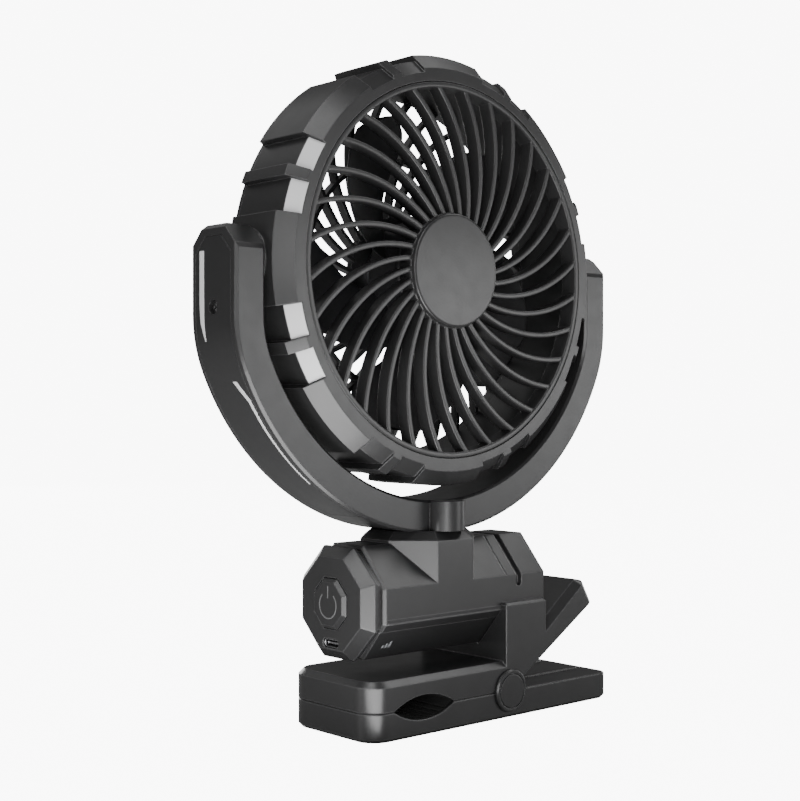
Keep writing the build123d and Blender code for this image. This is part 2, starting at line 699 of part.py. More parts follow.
def half_space(above):
    """Room above or below the plane where the two shells meet."""
    far = 3 * BARREL_HALF
    z0 = SPLIT_Z if above else SPLIT_Z - far
    return block(-2 * far, 2 * far, -far, far, z0, z0 + far)


def screw_posts(radius, z0, z1):
    """Two round posts at the shell screws."""
    return Part() + [rod((SCREW_X, side * SCREW_Y, z0), (0, 0, 1), radius, z1 - z0) for side in (-1, 1)]


def barrel_upper_shell():
    """Upper shell with the pedestal, the groove and its inner collar, and the screw bosses."""
    shell = (barrel_tube(0) & half_space(True)) + pedestal()
    wall = BARREL_WALL + LOWER_SHELL_INSET
    cavity = slab_x(barrel_section(wall), -BARREL_LEFT, BARREL_RIGHT - BARREL_WALL)
    shell -= cavity
    ring_left = COLLAR_RING_X
    ring = slab_x(barrel_section(wall), ring_left, ring_left + COLLAR_RING_WIDTH)
    ring -= slab_x(barrel_section(STRAP_SLOT_DEPTH + BARREL_WALL), ring_left, ring_left + COLLAR_RING_WIDTH)
    shell += ring & half_space(True)
    shell += belt_rails()
    shell -= strap_slot()
    shell -= band_line()
    boss = screw_posts(SCREW_BOSS_RADIUS, SPLIT_Z, BARREL_Z + BARREL_HALF - PAST)
    shell += boss & slab_x(barrel_section(PAST), 0, BARREL_RIGHT)
    plate_low = SWIVEL_Z - SWIVEL_PLATE
    shell -= slab_z(Circle(RETAINER_RADIUS + RETAINER_ROOM), BARREL_Z, plate_low)
    screw_end = screw_foot() + SCREW_LENGTH + SCREW_HEAD_HEIGHT
    shell -= screw_posts(SCREW_RADIUS + SCREW_CLEARANCE, 0, screw_end)
    return shell - slab_z(Circle(POST_RADIUS + POST_CLEARANCE), BARREL_Z, SWIVEL_Z + PAST)


def screw_foot():
    """Height of the shell screws' heads above the ground."""
    return BARREL_Z - BARREL_HALF + LOWER_SHELL_INSET


def lens_frames():
    """Places of the charge lights, outward from the lower front facet."""
    drop = BARREL_HALF - BARREL_SIDE_FACET / 2
    run = BARREL_HALF - BARREL_TOP_FACET / 2
    length = math.hypot(drop, run)
    normal = Vector(0, -drop / length, -run / length)
    slope = Vector(0, run / length, -drop / length)
    shrink = LOWER_SHELL_INSET
    corner = Vector(LENS_X, -BARREL_HALF, BARREL_Z - BARREL_SIDE_FACET / 2) - normal * shrink
    foot = corner + slope * LENS_DROP
    step = Vector(LENS_PITCH, 0, 0)
    return [Plane(origin=foot + step * i, x_dir=(1, 0, 0), z_dir=normal) for i in range(LENS_COUNT)]


def lens_outline(index, grow):
    """Upright bar of the charge display, taller than the one before it, on a common foot."""
    height = LENS_HEIGHT + index * LENS_HEIGHT_STEP
    return Pos(0, height / 2) * Rectangle(LENS_WIDTH + 2 * grow, height + 2 * grow)


def barrel_lower_shell():
    """Lower shell, set in a little below the joint, with the screws' posts and the lights' holes."""
    shell = barrel_tube(LOWER_SHELL_INSET) & half_space(False)
    post = screw_posts(SCREW_BOSS_RADIUS, screw_foot(), SPLIT_Z)
    shell += post & slab_x(barrel_section(LOWER_SHELL_INSET), 0, BARREL_RIGHT)
    foot = screw_foot()
    shell -= screw_posts(SCREW_RADIUS + SCREW_CLEARANCE, foot - PAST, SPLIT_Z + PAST)
    shell -= screw_posts(SCREW_HEAD_RADIUS + SCREW_CLEARANCE, foot - PAST, foot + SCREW_HEAD_HEIGHT)
    for index, frame in enumerate(lens_frames()):
        hole = frame * lens_outline(index, LENS_CLEARANCE)
        shell -= extrude(hole, amount=BARREL_WALL, both=True)
    half = LEDGE_WIDTH / 2
    for x in (LEDGE_X, LEDGE_X - LEDGE_PITCH):
        shell += block(x, x + LEDGE_LENGTH, -half, half, foot, charge_board_z())
    return shell


def shell_screws():
    """Two screws that hold the shells together, heads down."""
    foot = screw_foot()
    heads = [
        rod((SCREW_X, side * SCREW_Y, foot), (0, 0, 1), SCREW_HEAD_RADIUS, SCREW_HEAD_HEIGHT)
        for side in (-1, 1)
    ]
    shanks = [
        rod((SCREW_X, side * SCREW_Y, foot), (0, 0, 1), SCREW_RADIUS, SCREW_LENGTH)
        for side in (-1, 1)
    ]
    return [head + shank for head, shank in zip(heads, shanks)]


def indicator_lenses():
    """Small windows of the charge lights."""
    bars = enumerate(lens_frames())
    return [extrude(frame * lens_outline(index, 0), amount=-BARREL_WALL) for index, frame in bars]


def cap_octagon(half, x0, x1):
    """Eight-sided prism of the end cap, on the barrel's axis."""
    return slab_x(Pos(0, BARREL_Z) * regular_octagon(half), x0, x1)


def charge_board_z():
    """Height of the underside of the charging board."""
    return BARREL_Z - BARREL_HALF + LOWER_SHELL_INSET + BARREL_WALL + CHARGE_BOARD_GAP


def usb_z():
    """Height of the middle of the charging socket."""
    return charge_board_z() + BOARD_THICKNESS + USB_HEIGHT / 2


def usb_section(grow):
    """Rounded mouth of the charging socket."""
    width = USB_WIDTH + 2 * grow
    height = USB_HEIGHT + 2 * grow
    return Pos(0, usb_z()) * SlotOverall(width, height)


def button_end_cap():
    """Bevelled end cap with a groove behind its rim and a spigot in the barrel."""
    rim_end = CAP_FACE_X + CAP_BEVEL + CAP_RIM
    cap = cap_octagon(CAP_HALF, CAP_FACE_X, rim_end)
    cap = chamfer(cap.faces().sort_by(Axis.X)[0].edges(), CAP_BEVEL)
    cap += cap_octagon(CAP_NECK_HALF, rim_end, -BARREL_LEFT)
    inner = BARREL_WALL + LOWER_SHELL_INSET
    spigot = slab_x(barrel_section(inner + CAP_CLEARANCE), -BARREL_LEFT, -BARREL_LEFT + CAP_SPIGOT)
    cap += spigot & cap_octagon(CAP_NECK_HALF, -BARREL_LEFT, -BARREL_LEFT + CAP_SPIGOT)
    hollow_left = CAP_FACE_X + CAP_FACE
    end = -BARREL_LEFT + CAP_SPIGOT
    room = barrel_section(inner + CAP_CLEARANCE + CAP_WALL)
    cap -= slab_x(room, hollow_left, end)
    reach = PAST + button_board_x() - hollow_left
    cap += [rod((hollow_left - PAST, y, z), (1, 0, 0), BOARD_POST_RADIUS, reach) for y, z in board_posts()]
    cap -= cap_octagon(BUTTON_HALF + BUTTON_CLEARANCE, CAP_FACE_X - PAST, hollow_left)
    half = CHARGE_BOARD_WIDTH / 2 + BOARD_NOTCH_ROOM
    low = charge_board_z() - BOARD_NOTCH_ROOM
    cap -= block(hollow_left, end, -half, half, low, usb_z())
    return cap - slab_x(usb_section(USB_CLEARANCE), CAP_FACE_X - PAST, hollow_left + CAP_FACE)


def board_posts():
    """Places of the posts of the button's board, near its corners."""
    y = BUTTON_BOARD_Y / 2 - BOARD_POST_RADIUS
    z = BUTTON_BOARD_Z / 2 - BOARD_POST_RADIUS
    return [(y, BARREL_Z + z), (-y, BARREL_Z + z), (-y, BARREL_Z - z), (y, BARREL_Z - z)]


def button_board_x():
    """Front face of the button's board."""
    flange_back = CAP_FACE_X + CAP_FACE + BUTTON_BACK_GAP + BUTTON_FLANGE_THICKNESS
    return flange_back + BUTTON_PLUNGER + BUTTON_TRAVEL + SWITCH_GAP + SWITCH_STEM + SWITCH_HEIGHT


def button_board():
    """Small board behind the power button."""
    x0 = button_board_x()
    half_y = BUTTON_BOARD_Y / 2
    half_z = BUTTON_BOARD_Z / 2
    return block(x0, x0 + BOARD_THICKNESS, -half_y, half_y, BARREL_Z - half_z, BARREL_Z + half_z)


def button_switch():
    """Square push switch with a round stem."""
    x1 = button_board_x()
    half = SWITCH_SIDE / 2
    body = block(x1 - SWITCH_HEIGHT, x1, -half, half, BARREL_Z - half, BARREL_Z + half)
    return body + rod((x1 - SWITCH_HEIGHT, 0, BARREL_Z), (-1, 0, 0), SWITCH_STEM_RADIUS, SWITCH_STEM)


def power_button():
    """Raised eight-sided button with a flange behind the cap's face and a plunger."""
    face_x = CAP_FACE_X - BUTTON_PROUD
    flange_x = CAP_FACE_X + CAP_FACE + BUTTON_BACK_GAP
    button = cap_octagon(BUTTON_HALF, face_x, flange_x)
    button = chamfer(button.faces().sort_by(Axis.X)[0].edges(), BUTTON_EDGE)
    flange_end = flange_x + BUTTON_FLANGE_THICKNESS
    button += cap_octagon(BUTTON_HALF + BUTTON_FLANGE, flange_x, flange_end)
    return button + rod((flange_end, 0, BARREL_Z), (1, 0, 0), BUTTON_PLUNGER_RADIUS, BUTTON_PLUNGER)


def cell_cylinders(grow):
    """The two cells, lying side by side, grown by a clearance."""
    return [
        rod((-CELL_LEFT, side * CELL_PITCH / 2, BARREL_Z), (1, 0, 0), CELL_RADIUS + grow, CELL_LENGTH)
        for side in (-1, 1)
    ]


def cell_tray():
    """Cradle under the cells, resting in the barrel's lower facets."""
    inner = BARREL_WALL + LOWER_SHELL_INSET + CELL_CLEARANCE
    tray = slab_x(barrel_section(inner), -CELL_LEFT, CELL_LENGTH - CELL_LEFT)
    low = BARREL_Z - TRAY_DROP
    tray &= block(-CELL_LEFT, CELL_LENGTH - CELL_LEFT, -BARREL_HALF, BARREL_HALF, low, low + TRAY_HEIGHT)
    for cell in cell_cylinders(CELL_CLEARANCE):
        tray -= cell
    return tray


def charge_board():
    """Charging board along the barrel's floor, up to the socket."""
    x0 = CAP_FACE_X + CAP_FACE + USB_CLEARANCE
    half = CHARGE_BOARD_WIDTH / 2
    z0 = charge_board_z()
    return block(x0, x0 + CHARGE_BOARD_LENGTH, -half, half, z0, z0 + BOARD_THICKNESS)


def usb_c_socket():
    """Charging socket: a rounded metal shell with its contact tongue."""
    x0 = CAP_FACE_X + USB_INSET
    shell = slab_x(usb_section(0), x0, x0 + USB_DEPTH)
    shell -= slab_x(usb_section(-USB_WALL), x0, x0 + USB_DEPTH - USB_WALL)
    tongue_half = USB_WIDTH / 2 - USB_TONGUE_INSET
    tongue = block(
        x0 + USB_TONGUE_INSET, x0 + USB_DEPTH, -tongue_half, tongue_half,
        usb_z() - USB_WALL, usb_z() + USB_WALL,
    )
    return shell + tongue


def arm_line(radius):
    """Where an arm's face stands for an arc of the yoke, and the height at which the arc meets it."""
    x = radius - YOKE_ARM_INSET
    return x, HEAD_Z - math.sqrt(radius ** 2 - x ** 2)


def u_outline(outer, inner, top):
    """U shape in X and Z: an arc about the fan's axis that blends into straight arms up to a height."""
    out_x, out_z = arm_line(outer)
    in_x, in_z = arm_line(inner)
    outline = make_face([
        Line((-out_x, top), (-out_x, out_z)),
        ThreePointArc((-out_x, out_z), (0, HEAD_Z - outer), (out_x, out_z)),
        Line((out_x, out_z), (out_x, top)),
        Line((out_x, top), (in_x, top)),
        Line((in_x, top), (in_x, in_z)),
        ThreePointArc((in_x, in_z), (0, HEAD_Z - inner), (-in_x, in_z)),
        Line((-in_x, in_z), (-in_x, top)),
        Line((-in_x, top), (-out_x, top)),
    ])
    for radius, x, z in ((outer, out_x, out_z), (inner, in_x, in_z)):
        for side in (-1, 1):
            corner = outline.vertices().sort_by_distance((side * x, z, 0))[0]
            outline = fillet(corner, YOKE_BLEND + radius - YOKE_INNER_RADIUS)
    return outline


def arm_corners(half_y, top, leg):
    """Wedges that bevel the upper corners of both arms."""
    far = YOKE_OUTER_RADIUS + PAST
    return [
        slab_x(polygon([
            (side * half_y, top - leg), (side * half_y, top), (side * (half_y - leg), top),
        ]), -far, far)
        for side in (-1, 1)
    ]


def arm_band(outer, inner, half_y, top, end_x):
    """Both arms' share of a U shape, from a bevelled top down to where it ends above the foot."""
    band = slab_y(u_outline(outer, inner, top), -half_y, half_y)
    for wedge in arm_corners(half_y, top, COVER_CORNER):
        band -= wedge
    return band - block(-end_x, end_x, -half_y, half_y, 0, HEAD_Z)


def yoke_frame():
    """U bracket with bevelled arm ends, cover seats, wire channels, stem boss and post seat."""
    half = YOKE_DEPTH / 2
    frame = slab_y(u_outline(YOKE_OUTER_RADIUS, YOKE_INNER_RADIUS, YOKE_TOP), -half, half)
    for wedge in arm_corners(half, YOKE_TOP, YOKE_ARM_CHAMFER):
        frame -= wedge
    tops = frame.faces().sort_by(Axis.Z)[-2:]
    frame = chamfer(tops[0].edges().filter_by(Axis.Y) + tops[1].edges().filter_by(Axis.Y), YOKE_TOP_EDGE)
    faces = frame.faces().sort_by(Axis.Y)
    frame = chamfer(faces[0].edges() + faces[-1].edges(), YOKE_EDGE)
    seat = YOKE_OUTER_RADIUS - COVER_THICKNESS
    top = YOKE_TOP - COVER_TOP_DROP
    frame -= arm_band(YOKE_OUTER_RADIUS + PAST, seat, COVER_WIDTH / 2, top, COVER_END_X)
    floor = YOKE_INNER_RADIUS + CHANNEL_FLOOR
    drop = COVER_WIDTH / 2 - CHANNEL_WIDTH / 2
    channel = arm_band(seat + PAST, floor, CHANNEL_WIDTH / 2, top - drop, COVER_END_X + drop)
    seat_x = ARM_OUTER_X - COVER_THICKNESS
    for side in (-1, 1):
        boss = rod((side * seat_x, 0, cover_screw_z()), (-side, 0, 0), SCREW_BOSS_RADIUS, YOKE_THICKNESS)
        channel -= boss
    frame -= channel
    low = SWIVEL_Z
    frame += slab_z(Pos(0, STEM_Y) * Circle(STEM_RADIUS), low, HEAD_Z - YOKE_INNER_RADIUS)
    frame -= slab_z(Rectangle(2 * YOKE_OUTER_RADIUS, 2 * YOKE_DEPTH), low - YOKE_THICKNESS, low)
    frame -= slab_z(Circle(POST_RADIUS + POST_CLEARANCE), low - PAST, low + POST_SEAT)
    for side in (-1, 1):
        x = side * ARM_INNER_X
        hole = PIVOT_RADIUS + PIVOT_CLEARANCE
        frame -= rod((x - side * PAST, 0, HEAD_Z), (side, 0, 0), hole, CHANNEL_FLOOR + 2 * PAST)
        floor_x = ARM_INNER_X + CHANNEL_FLOOR
        frame -= pivot_rod(side, floor_x, seat_x, PIVOT_HEAD_RADIUS + PIVOT_HEAD_ROOM)
        screw = SCREW_RADIUS + SCREW_CLEARANCE
        inside = (x - side * YOKE_THICKNESS, 0, cover_screw_z())
        frame -= rod(inside, (side, 0, 0), screw, 2 * YOKE_THICKNESS)
    return frame


def cover_screw_z():
    """Height of the screw in each arm's cover."""
    return HEAD_Z - COVER_SCREW_DROP


def accent_prisms(depth):
    """Tapered light strips on the covers' outsides: one upright, one bent along the arc."""
    top = YOKE_TOP - COVER_TOP_DROP
    edge = COVER_WIDTH / 2
    upright = polygon([(edge - y, top - z) for y, z in UPRIGHT_STRIP])
    bent = polygon([(y, HEAD_Z - z) for y, z in BENT_STRIP])
    skin = arm_band(
        YOKE_OUTER_RADIUS + ACCENT_PROUD, YOKE_OUTER_RADIUS - depth, COVER_WIDTH / 2, top, COVER_END_X
    )
    far = YOKE_OUTER_RADIUS + PAST
    strips = []
    for side in (-1, 1):
        for shape in (upright, bent):
            prism = slab_x(shape, 0, far) if side > 0 else slab_x(shape, -far, 0)
            strips.append(skin & prism)
    return strips


def yoke_cover(side):
    """Outer cover of one arm, with its screw hole and the strips' grooves."""
    inset = COVER_CLEARANCE
    cover = arm_band(
        YOKE_OUTER_RADIUS, YOKE_OUTER_RADIUS - COVER_THICKNESS + SCREW_CLEARANCE,
        COVER_WIDTH / 2 - inset, YOKE_TOP - COVER_TOP_DROP - inset, COVER_END_X + inset,
    )
    far = YOKE_OUTER_RADIUS + PAST
    x0, x1 = (0, far) if side > 0 else (-far, 0)
    cover &= block(x0, x1, -YOKE_DEPTH, YOKE_DEPTH, 0, YOKE_TOP)
    head = SCREW_HEAD_RADIUS + SCREW_CLEARANCE
    seat = ARM_OUTER_X - COVER_SCREW_SINK
    cover -= rod((side * seat, 0, cover_screw_z()), (side, 0, 0), head, YOKE_THICKNESS)
    cover -= rod((0, 0, cover_screw_z()), (side, 0, 0), SCREW_RADIUS + SCREW_CLEARANCE, far)
    for strip in accent_prisms(ACCENT_DEPTH):
        cover -= strip
    return cover


def cover_screws():
    """One screw in each cover, with a cross in its head."""
    screws = []
    for side in (-1, 1):
        seat = ARM_OUTER_X - COVER_SCREW_SINK
        z = cover_screw_z()
        head = rod((side * seat, 0, z), (side, 0, 0), SCREW_HEAD_RADIUS, COVER_SCREW_HEAD)
        shank = rod((side * seat, 0, z), (-side, 0, 0), SCREW_RADIUS, YOKE_THICKNESS - COVER_THICKNESS)
        screws.append(head + shank)
    return screws


def swivel_post():
    """Hollow post of the swivel, seated in the yoke and reaching into the barrel."""
    low = SWIVEL_Z - POST_DROP
    high = SWIVEL_Z + POST_SEAT
    return slab_z(Circle(POST_RADIUS) - Circle(POST_BORE), low, high)


def swivel_retainer():
    """Ring on the post that keeps it in the barrel."""
    high = SWIVEL_Z - SWIVEL_PLATE - RETAINER_GAP
    ring = Circle(RETAINER_RADIUS) - Circle(POST_RADIUS + SHAFT_CLEARANCE)
    return slab_z(ring, high - RETAINER_THICKNESS, high)


def pivot_rod(side, x0, x1, radius):
    """Round bar on the tilting axis, on one side."""
    return rod((side * x0, 0, HEAD_Z), (side, 0, 0), radius, x1 - x0)


def tilt_pivots():
    """Steel pivots, fixed in the head and turning in the arms."""
    pad = RING_RADIUS + PIVOT_PAD_PROUD
    head = ARM_INNER_X + CHANNEL_FLOOR + PIVOT_HEAD_GAP
    return [
        pivot_rod(side, pad - PIVOT_DEPTH, head + PIVOT_HEAD, PIVOT_RADIUS)
        + pivot_rod(side, head, head + PIVOT_HEAD, PIVOT_HEAD_RADIUS)
        for side in (-1, 1)
    ]


def tilt_washers():
    """Round spacers between the arms and the head."""
    pad = RING_RADIUS + PIVOT_PAD_PROUD
    return [
        pivot_rod(side, pad, ARM_INNER_X, WASHER_RADIUS)
        - pivot_rod(side, pad, ARM_INNER_X, PIVOT_RADIUS + PIVOT_CLEARANCE)
        for side in (-1, 1)
    ]


def sector(start, angle, radius, z0, z1):
    """Wedge of a disc between two angles, in degrees."""
    mid = math.radians(start + angle / 2)
    ends = [math.radians(start), math.radians(start + angle)]
    far = radius / math.cos(math.radians(angle / 2))
    points = [(0, 0)] + [
        (far * math.cos(a), far * math.sin(a)) for a in (ends[0], mid, ends[1])
    ]
    return slab_z(polygon(points), z0, z1)


def recess_starts():
    """Start angles of the shallow recesses of the tread."""
    starts = []
    for i in range(TREAD_COUNT):
        first = i * TREAD_PITCH + BLOCK_ANGLE / 2
        starts += [first, first + RECESS_ANGLE + RIB_ANGLE]
    return starts


def ring_accents():
    """Silver inserts on the recess bevels beside the pivots' blocks."""
    top = RING_FRONT
    slant = math.sqrt(0.5) * INSERT_MARGIN
    inner = (FLOOR_RADIUS - FLOOR_BEVEL + slant, top - slant)
    outer = (FLOOR_RADIUS - slant, top - FLOOR_BEVEL + slant)
    sink = math.sqrt(0.5) * INSERT_THICKNESS
    profile = [inner, outer, (outer[0] - sink, outer[1] - sink), (inner[0] - sink, inner[1] - sink)]
    face = Plane.XZ * polygon(profile)
    margin = math.degrees(INSERT_MARGIN / FLOOR_RADIUS)
    inserts = []
    for start in recess_starts():
        middle = (start + RECESS_ANGLE / 2) % 180
        if min(middle, 180 - middle) < TREAD_PITCH:
            piece = revolve(face, Axis.Z, RECESS_ANGLE - 2 * margin)
            inserts.append(Rot(0, 0, start + margin) * piece)
    return inserts


def ring_housing():
    """Front ring of the head: tread outside, duct inside, open at the back, pivot bosses."""
    bevel_top = RING_RADIUS - RING_BEVEL
    seat = RING_FRONT - GRILLE_DEPTH
    ring = turned([
        (DUCT_RADIUS, -RING_REAR),
        (RING_RADIUS, -RING_REAR),
        (RING_RADIUS, RING_FRONT - RING_BEVEL),
        (bevel_top, RING_FRONT),
        (GRILLE_SEAT_RADIUS, RING_FRONT),
        (GRILLE_SEAT_RADIUS, seat),
        (DUCT_RADIUS, seat),
    ])
    floor = turned([
        (0, -RING_FRONT),
        (FLOOR_RADIUS, -RING_FRONT),
        (FLOOR_RADIUS, RING_FRONT - FLOOR_BEVEL),
        (FLOOR_RADIUS - FLOOR_BEVEL, RING_FRONT),
        (0, RING_FRONT),
    ])
    recesses = [
        sector(start, RECESS_ANGLE, RING_RADIUS + PAST, -RING_REAR, RING_FRONT) - floor
        for start in recess_starts()
    ]
    ring -= recesses
    inside = FLOOR_RADIUS - RING_WALL
    slant = math.sqrt(2) * RING_WALL
    roof = RING_FRONT - RING_WALL
    duct_out = DUCT_RADIUS + DUCT_WALL
    seat_out = GRILLE_SEAT_RADIUS + DUCT_WALL
    cavity = turned([
        (duct_out, -RING_REAR),
        (inside, -RING_REAR),
        (inside, FLOOR_RADIUS + RING_FRONT - FLOOR_BEVEL - slant - inside),
        (FLOOR_RADIUS + RING_FRONT - FLOOR_BEVEL - slant - roof, roof),
        (seat_out, roof),
        (seat_out, seat - DUCT_WALL),
        (duct_out, seat - DUCT_WALL),
    ])
    pad = RING_RADIUS + PIVOT_PAD_PROUD
    bosses = [rod((0, 0, 0), (side, 0, 0), PIVOT_PAD_RADIUS, pad) for side in (-1, 1)]
    duct = rod((0, 0, -RING_FRONT), (0, 0, 1), DUCT_RADIUS + DUCT_WALL / 2, 2 * RING_FRONT)
    behind = block(-pad, pad, -pad, pad, -RING_FRONT, -RING_REAR)
    ring -= cavity
    ring += [boss - duct - behind for boss in bosses]
    bores = [
        rod((side * pad, 0, 0), (-side, 0, 0), PIVOT_RADIUS + SHAFT_CLEARANCE, PIVOT_DEPTH)
        for side in (-1, 1)
    ]
    ring -= bores
    ring -= ring_accents()
    post_circle = (duct_out + inside) / 2
    posts = [screw_post(angle, post_circle) for angle in rear_screw_angles()]
    ring += posts
    holes = [
        rod((post_circle * math.cos(a), post_circle * math.sin(a), -RING_REAR - PAST), (0, 0, 1),
            SCREW_RADIUS + SCREW_CLEARANCE, REAR_SCREW_LENGTH + 2 * PAST)
        for a in rear_screw_angles()
    ]
    return HEAD * (ring - holes)


def rear_screw_angles():
    """Angles of the rear cover's screws, midway between the pivots."""
    step = 2 * math.pi / REAR_SCREW_COUNT
    return [step * (i + 0.5) for i in range(REAR_SCREW_COUNT)]


def screw_post(angle, circle):
    """Post inside the ring for a screw of the rear cover."""
    low = -RING_REAR + REAR_SPIGOT
    start = (circle * math.cos(angle), circle * math.sin(angle), low)
    high = RING_FRONT - GRILLE_DEPTH - DUCT_WALL / 2
    return rod(start, (0, 0, 1), SCREW_BOSS_RADIUS, high - low)


def swirl_ribs(count, width, inner, bend, outer, angles, z0, z1):
    """Even ribs on arcs through three radii, each at its own angle."""
    points = [
        (r * math.cos(math.radians(a)), r * math.sin(math.radians(a)))
        for r, a in zip((inner, bend, outer), angles)
    ]
    rib = slab_z(trace(ThreePointArc(*points), line_width=width), z0, z1)
    return [Rot(0, 0, i * 360.0 / count) * rib for i in range(count)]


def front_grille():
    """Front guard: rim in the ring's seat, hub plate and swirled ribs."""
    seat = RING_FRONT - GRILLE_DEPTH
    rim_out = GRILLE_SEAT_RADIUS - GRILLE_CLEARANCE
    rim_in = rim_out - GRILLE_RIM
    rim = turned([(rim_in, seat), (rim_out, seat), (rim_out, RING_FRONT), (rim_in, RING_FRONT)])
    hub_face = hub_plate_front()
    hub = turned([(0, seat), (HUB_RADIUS, seat), (HUB_RADIUS, hub_face), (0, hub_face)])
    overlap = GRILLE_RIM / 2
    rim_angle = 90 + GRILLE_RIB_PHASE
    hub_angle = rim_angle - GRILLE_RIB_SWEEP
    angles = (hub_angle, hub_angle + GRILLE_RIB_BEND, rim_angle)
    ribs = swirl_ribs(
        GRILLE_RIB_COUNT, GRILLE_RIB_WIDTH, HUB_RADIUS - overlap, GRILLE_BEND_RADIUS, rim_in + overlap,
        angles, seat + GRILLE_RIB_SET, seat + GRILLE_RIB_SET + GRILLE_RIB_DEPTH,
    )
    grille = rim + hub + ribs
    gap = HUB_SPIGOT_CLEARANCE
    return HEAD * (grille - rod((0, 0, hub_face), (0, 0, -1), HUB_SPIGOT_RADIUS + gap, HUB_SPIGOT + gap))


def hub_plate_front():
    """Depth of the face that the hub cap sits on."""
    return RING_FRONT - HUB_CAP_STEP


def hub_cap():
    """Plain disc over the grille's hub."""
    low = hub_plate_front()
    disc = rod((0, 0, low), (0, 0, 1), HUB_RADIUS - HUB_CAP_STEP, HUB_CAP_HEIGHT)
    disc = chamfer(disc.faces().sort_by(Axis.Z)[-1].edges(), HUB_CAP_EDGE)
    return HEAD * (disc + rod((0, 0, low), (0, 0, -1), HUB_SPIGOT_RADIUS, HUB_SPIGOT))


def rear_cover():
    """Back of the head: ring plate with a spigot, rear ribs, hoop and the motor's cup."""
    plate = turned([
        (DUCT_RADIUS, -REAR_FACE),
        (FLOOR_RADIUS - REAR_BEVEL, -REAR_FACE),
        (FLOOR_RADIUS, -REAR_FACE + REAR_BEVEL),
        (FLOOR_RADIUS, -RING_REAR),
        (DUCT_RADIUS, -RING_REAR),
    ])
    gap = REAR_SPIGOT_CLEARANCE
    spigot_in = DUCT_RADIUS + DUCT_WALL + gap
    spigot_out = FLOOR_RADIUS - RING_WALL - gap
    spigot = turned([
        (spigot_in, -RING_REAR - PAST),
        (spigot_out, -RING_REAR - PAST),
        (spigot_out, -RING_REAR + REAR_SPIGOT - gap),
        (spigot_in, -RING_REAR + REAR_SPIGOT - gap),
    ])
    pad = rear_pivot_room()
    cup = rod((0, 0, -REAR_FACE), (0, 0, 1), REAR_CUP_RADIUS, REAR_CUP)
    half = REAR_RIB_WIDTH / 2
    rib_front = -REAR_FACE + REAR_RIB_DEPTH
    hoop = turned([
        (REAR_HOOP_RADIUS - half, -REAR_FACE),
        (REAR_HOOP_RADIUS + half, -REAR_FACE),
        (REAR_HOOP_RADIUS + half, rib_front),
        (REAR_HOOP_RADIUS - half, rib_front),
    ])
    rim_angle = 90 + REAR_RIB_PHASE
    hub_angle = rim_angle + REAR_RIB_SWEEP
    angles = (hub_angle, hub_angle - REAR_RIB_BEND, rim_angle)
    ribs = swirl_ribs(
        REAR_RIB_COUNT, REAR_RIB_WIDTH, REAR_CUP_RADIUS - half, REAR_HOOP_RADIUS, DUCT_RADIUS + half,
        angles, -REAR_FACE, rib_front,
    )
    cover = plate + (spigot - pad) + cup + hoop + ribs
    circle = (DUCT_RADIUS + DUCT_WALL + FLOOR_RADIUS - RING_WALL) / 2
    for angle in rear_screw_angles():
        start = (circle * math.cos(angle), circle * math.sin(angle), -REAR_FACE)
        cover -= rod(start, (0, 0, 1), SCREW_RADIUS + SCREW_CLEARANCE, REAR_DEPTH + REAR_SPIGOT)
        cover -= rod(start, (0, 0, 1), SCREW_HEAD_RADIUS + SCREW_CLEARANCE, SCREW_HEAD_HEIGHT)
    for start in motor_screw_places():
        cover -= rod(start, (0, 0, 1), SCREW_RADIUS + SCREW_CLEARANCE, REAR_CUP)
        cover -= rod(start, (0, 0, 1), SCREW_HEAD_RADIUS + SCREW_CLEARANCE, MOTOR_SCREW_SINK)
    return HEAD * cover


def rear_pivot_room():
    """Room that the rear cover's spigot leaves for the pivots' bosses."""
    reach = PIVOT_PAD_RADIUS + REAR_SPIGOT_CLEARANCE
    return block(-RING_RADIUS, RING_RADIUS, -reach, reach, -RING_REAR, 0)


def motor_screw_places():
    """Places of the motor's screws on the back of its cup."""
    step = 2 * math.pi / MOTOR_SCREW_COUNT
    return [
        (MOTOR_SCREW_CIRCLE * math.cos(i * step), MOTOR_SCREW_CIRCLE * math.sin(i * step), -REAR_FACE)
        for i in range(MOTOR_SCREW_COUNT)
    ]


def rear_screws():
    """Screws that hold the rear cover to the ring."""
    circle = (DUCT_RADIUS + DUCT_WALL + FLOOR_RADIUS - RING_WALL) / 2
    screws = []
    for angle in rear_screw_angles():
        start = (circle * math.cos(angle), circle * math.sin(angle), -REAR_FACE + SCREW_HEAD_HEIGHT)
        head = rod(start, (0, 0, -1), SCREW_HEAD_RADIUS, REAR_SCREW_HEAD)
        screws.append(HEAD * (head + rod(start, (0, 0, 1), SCREW_RADIUS, REAR_SCREW_LENGTH)))
    return screws


def motor():
    """Motor can on the rear cup, with a bore for the shaft."""
    low = MOTOR_REAR
    can = rod((0, 0, low), (0, 0, 1), MOTOR_RADIUS, MOTOR_LENGTH)
    can = chamfer(can.faces().sort_by(Axis.Z)[-1].edges(), MOTOR_EDGE)
    bore_end = low + SHAFT_TAIL - SHAFT_END_ROOM
    can -= rod((0, 0, bore_end), (0, 0, 1), SHAFT_RADIUS + SHAFT_CLEARANCE, MOTOR_LENGTH)
    for x, y, z in motor_screw_places():
        can -= rod((x, y, low), (0, 0, 1), SCREW_RADIUS + SCREW_CLEARANCE, REAR_CUP)
    return HEAD * can


def motor_screws():
    """Screws through the cup into the motor."""
    screws = []
    for x, y, z in motor_screw_places():
        head = rod((x, y, z + MOTOR_SCREW_SINK), (0, 0, -1), SCREW_HEAD_RADIUS, MOTOR_SCREW_HEAD)
        shank = rod((x, y, z + MOTOR_SCREW_SINK), (0, 0, 1), SCREW_RADIUS, REAR_CUP)
        screws.append(HEAD * (head + shank))
    return screws


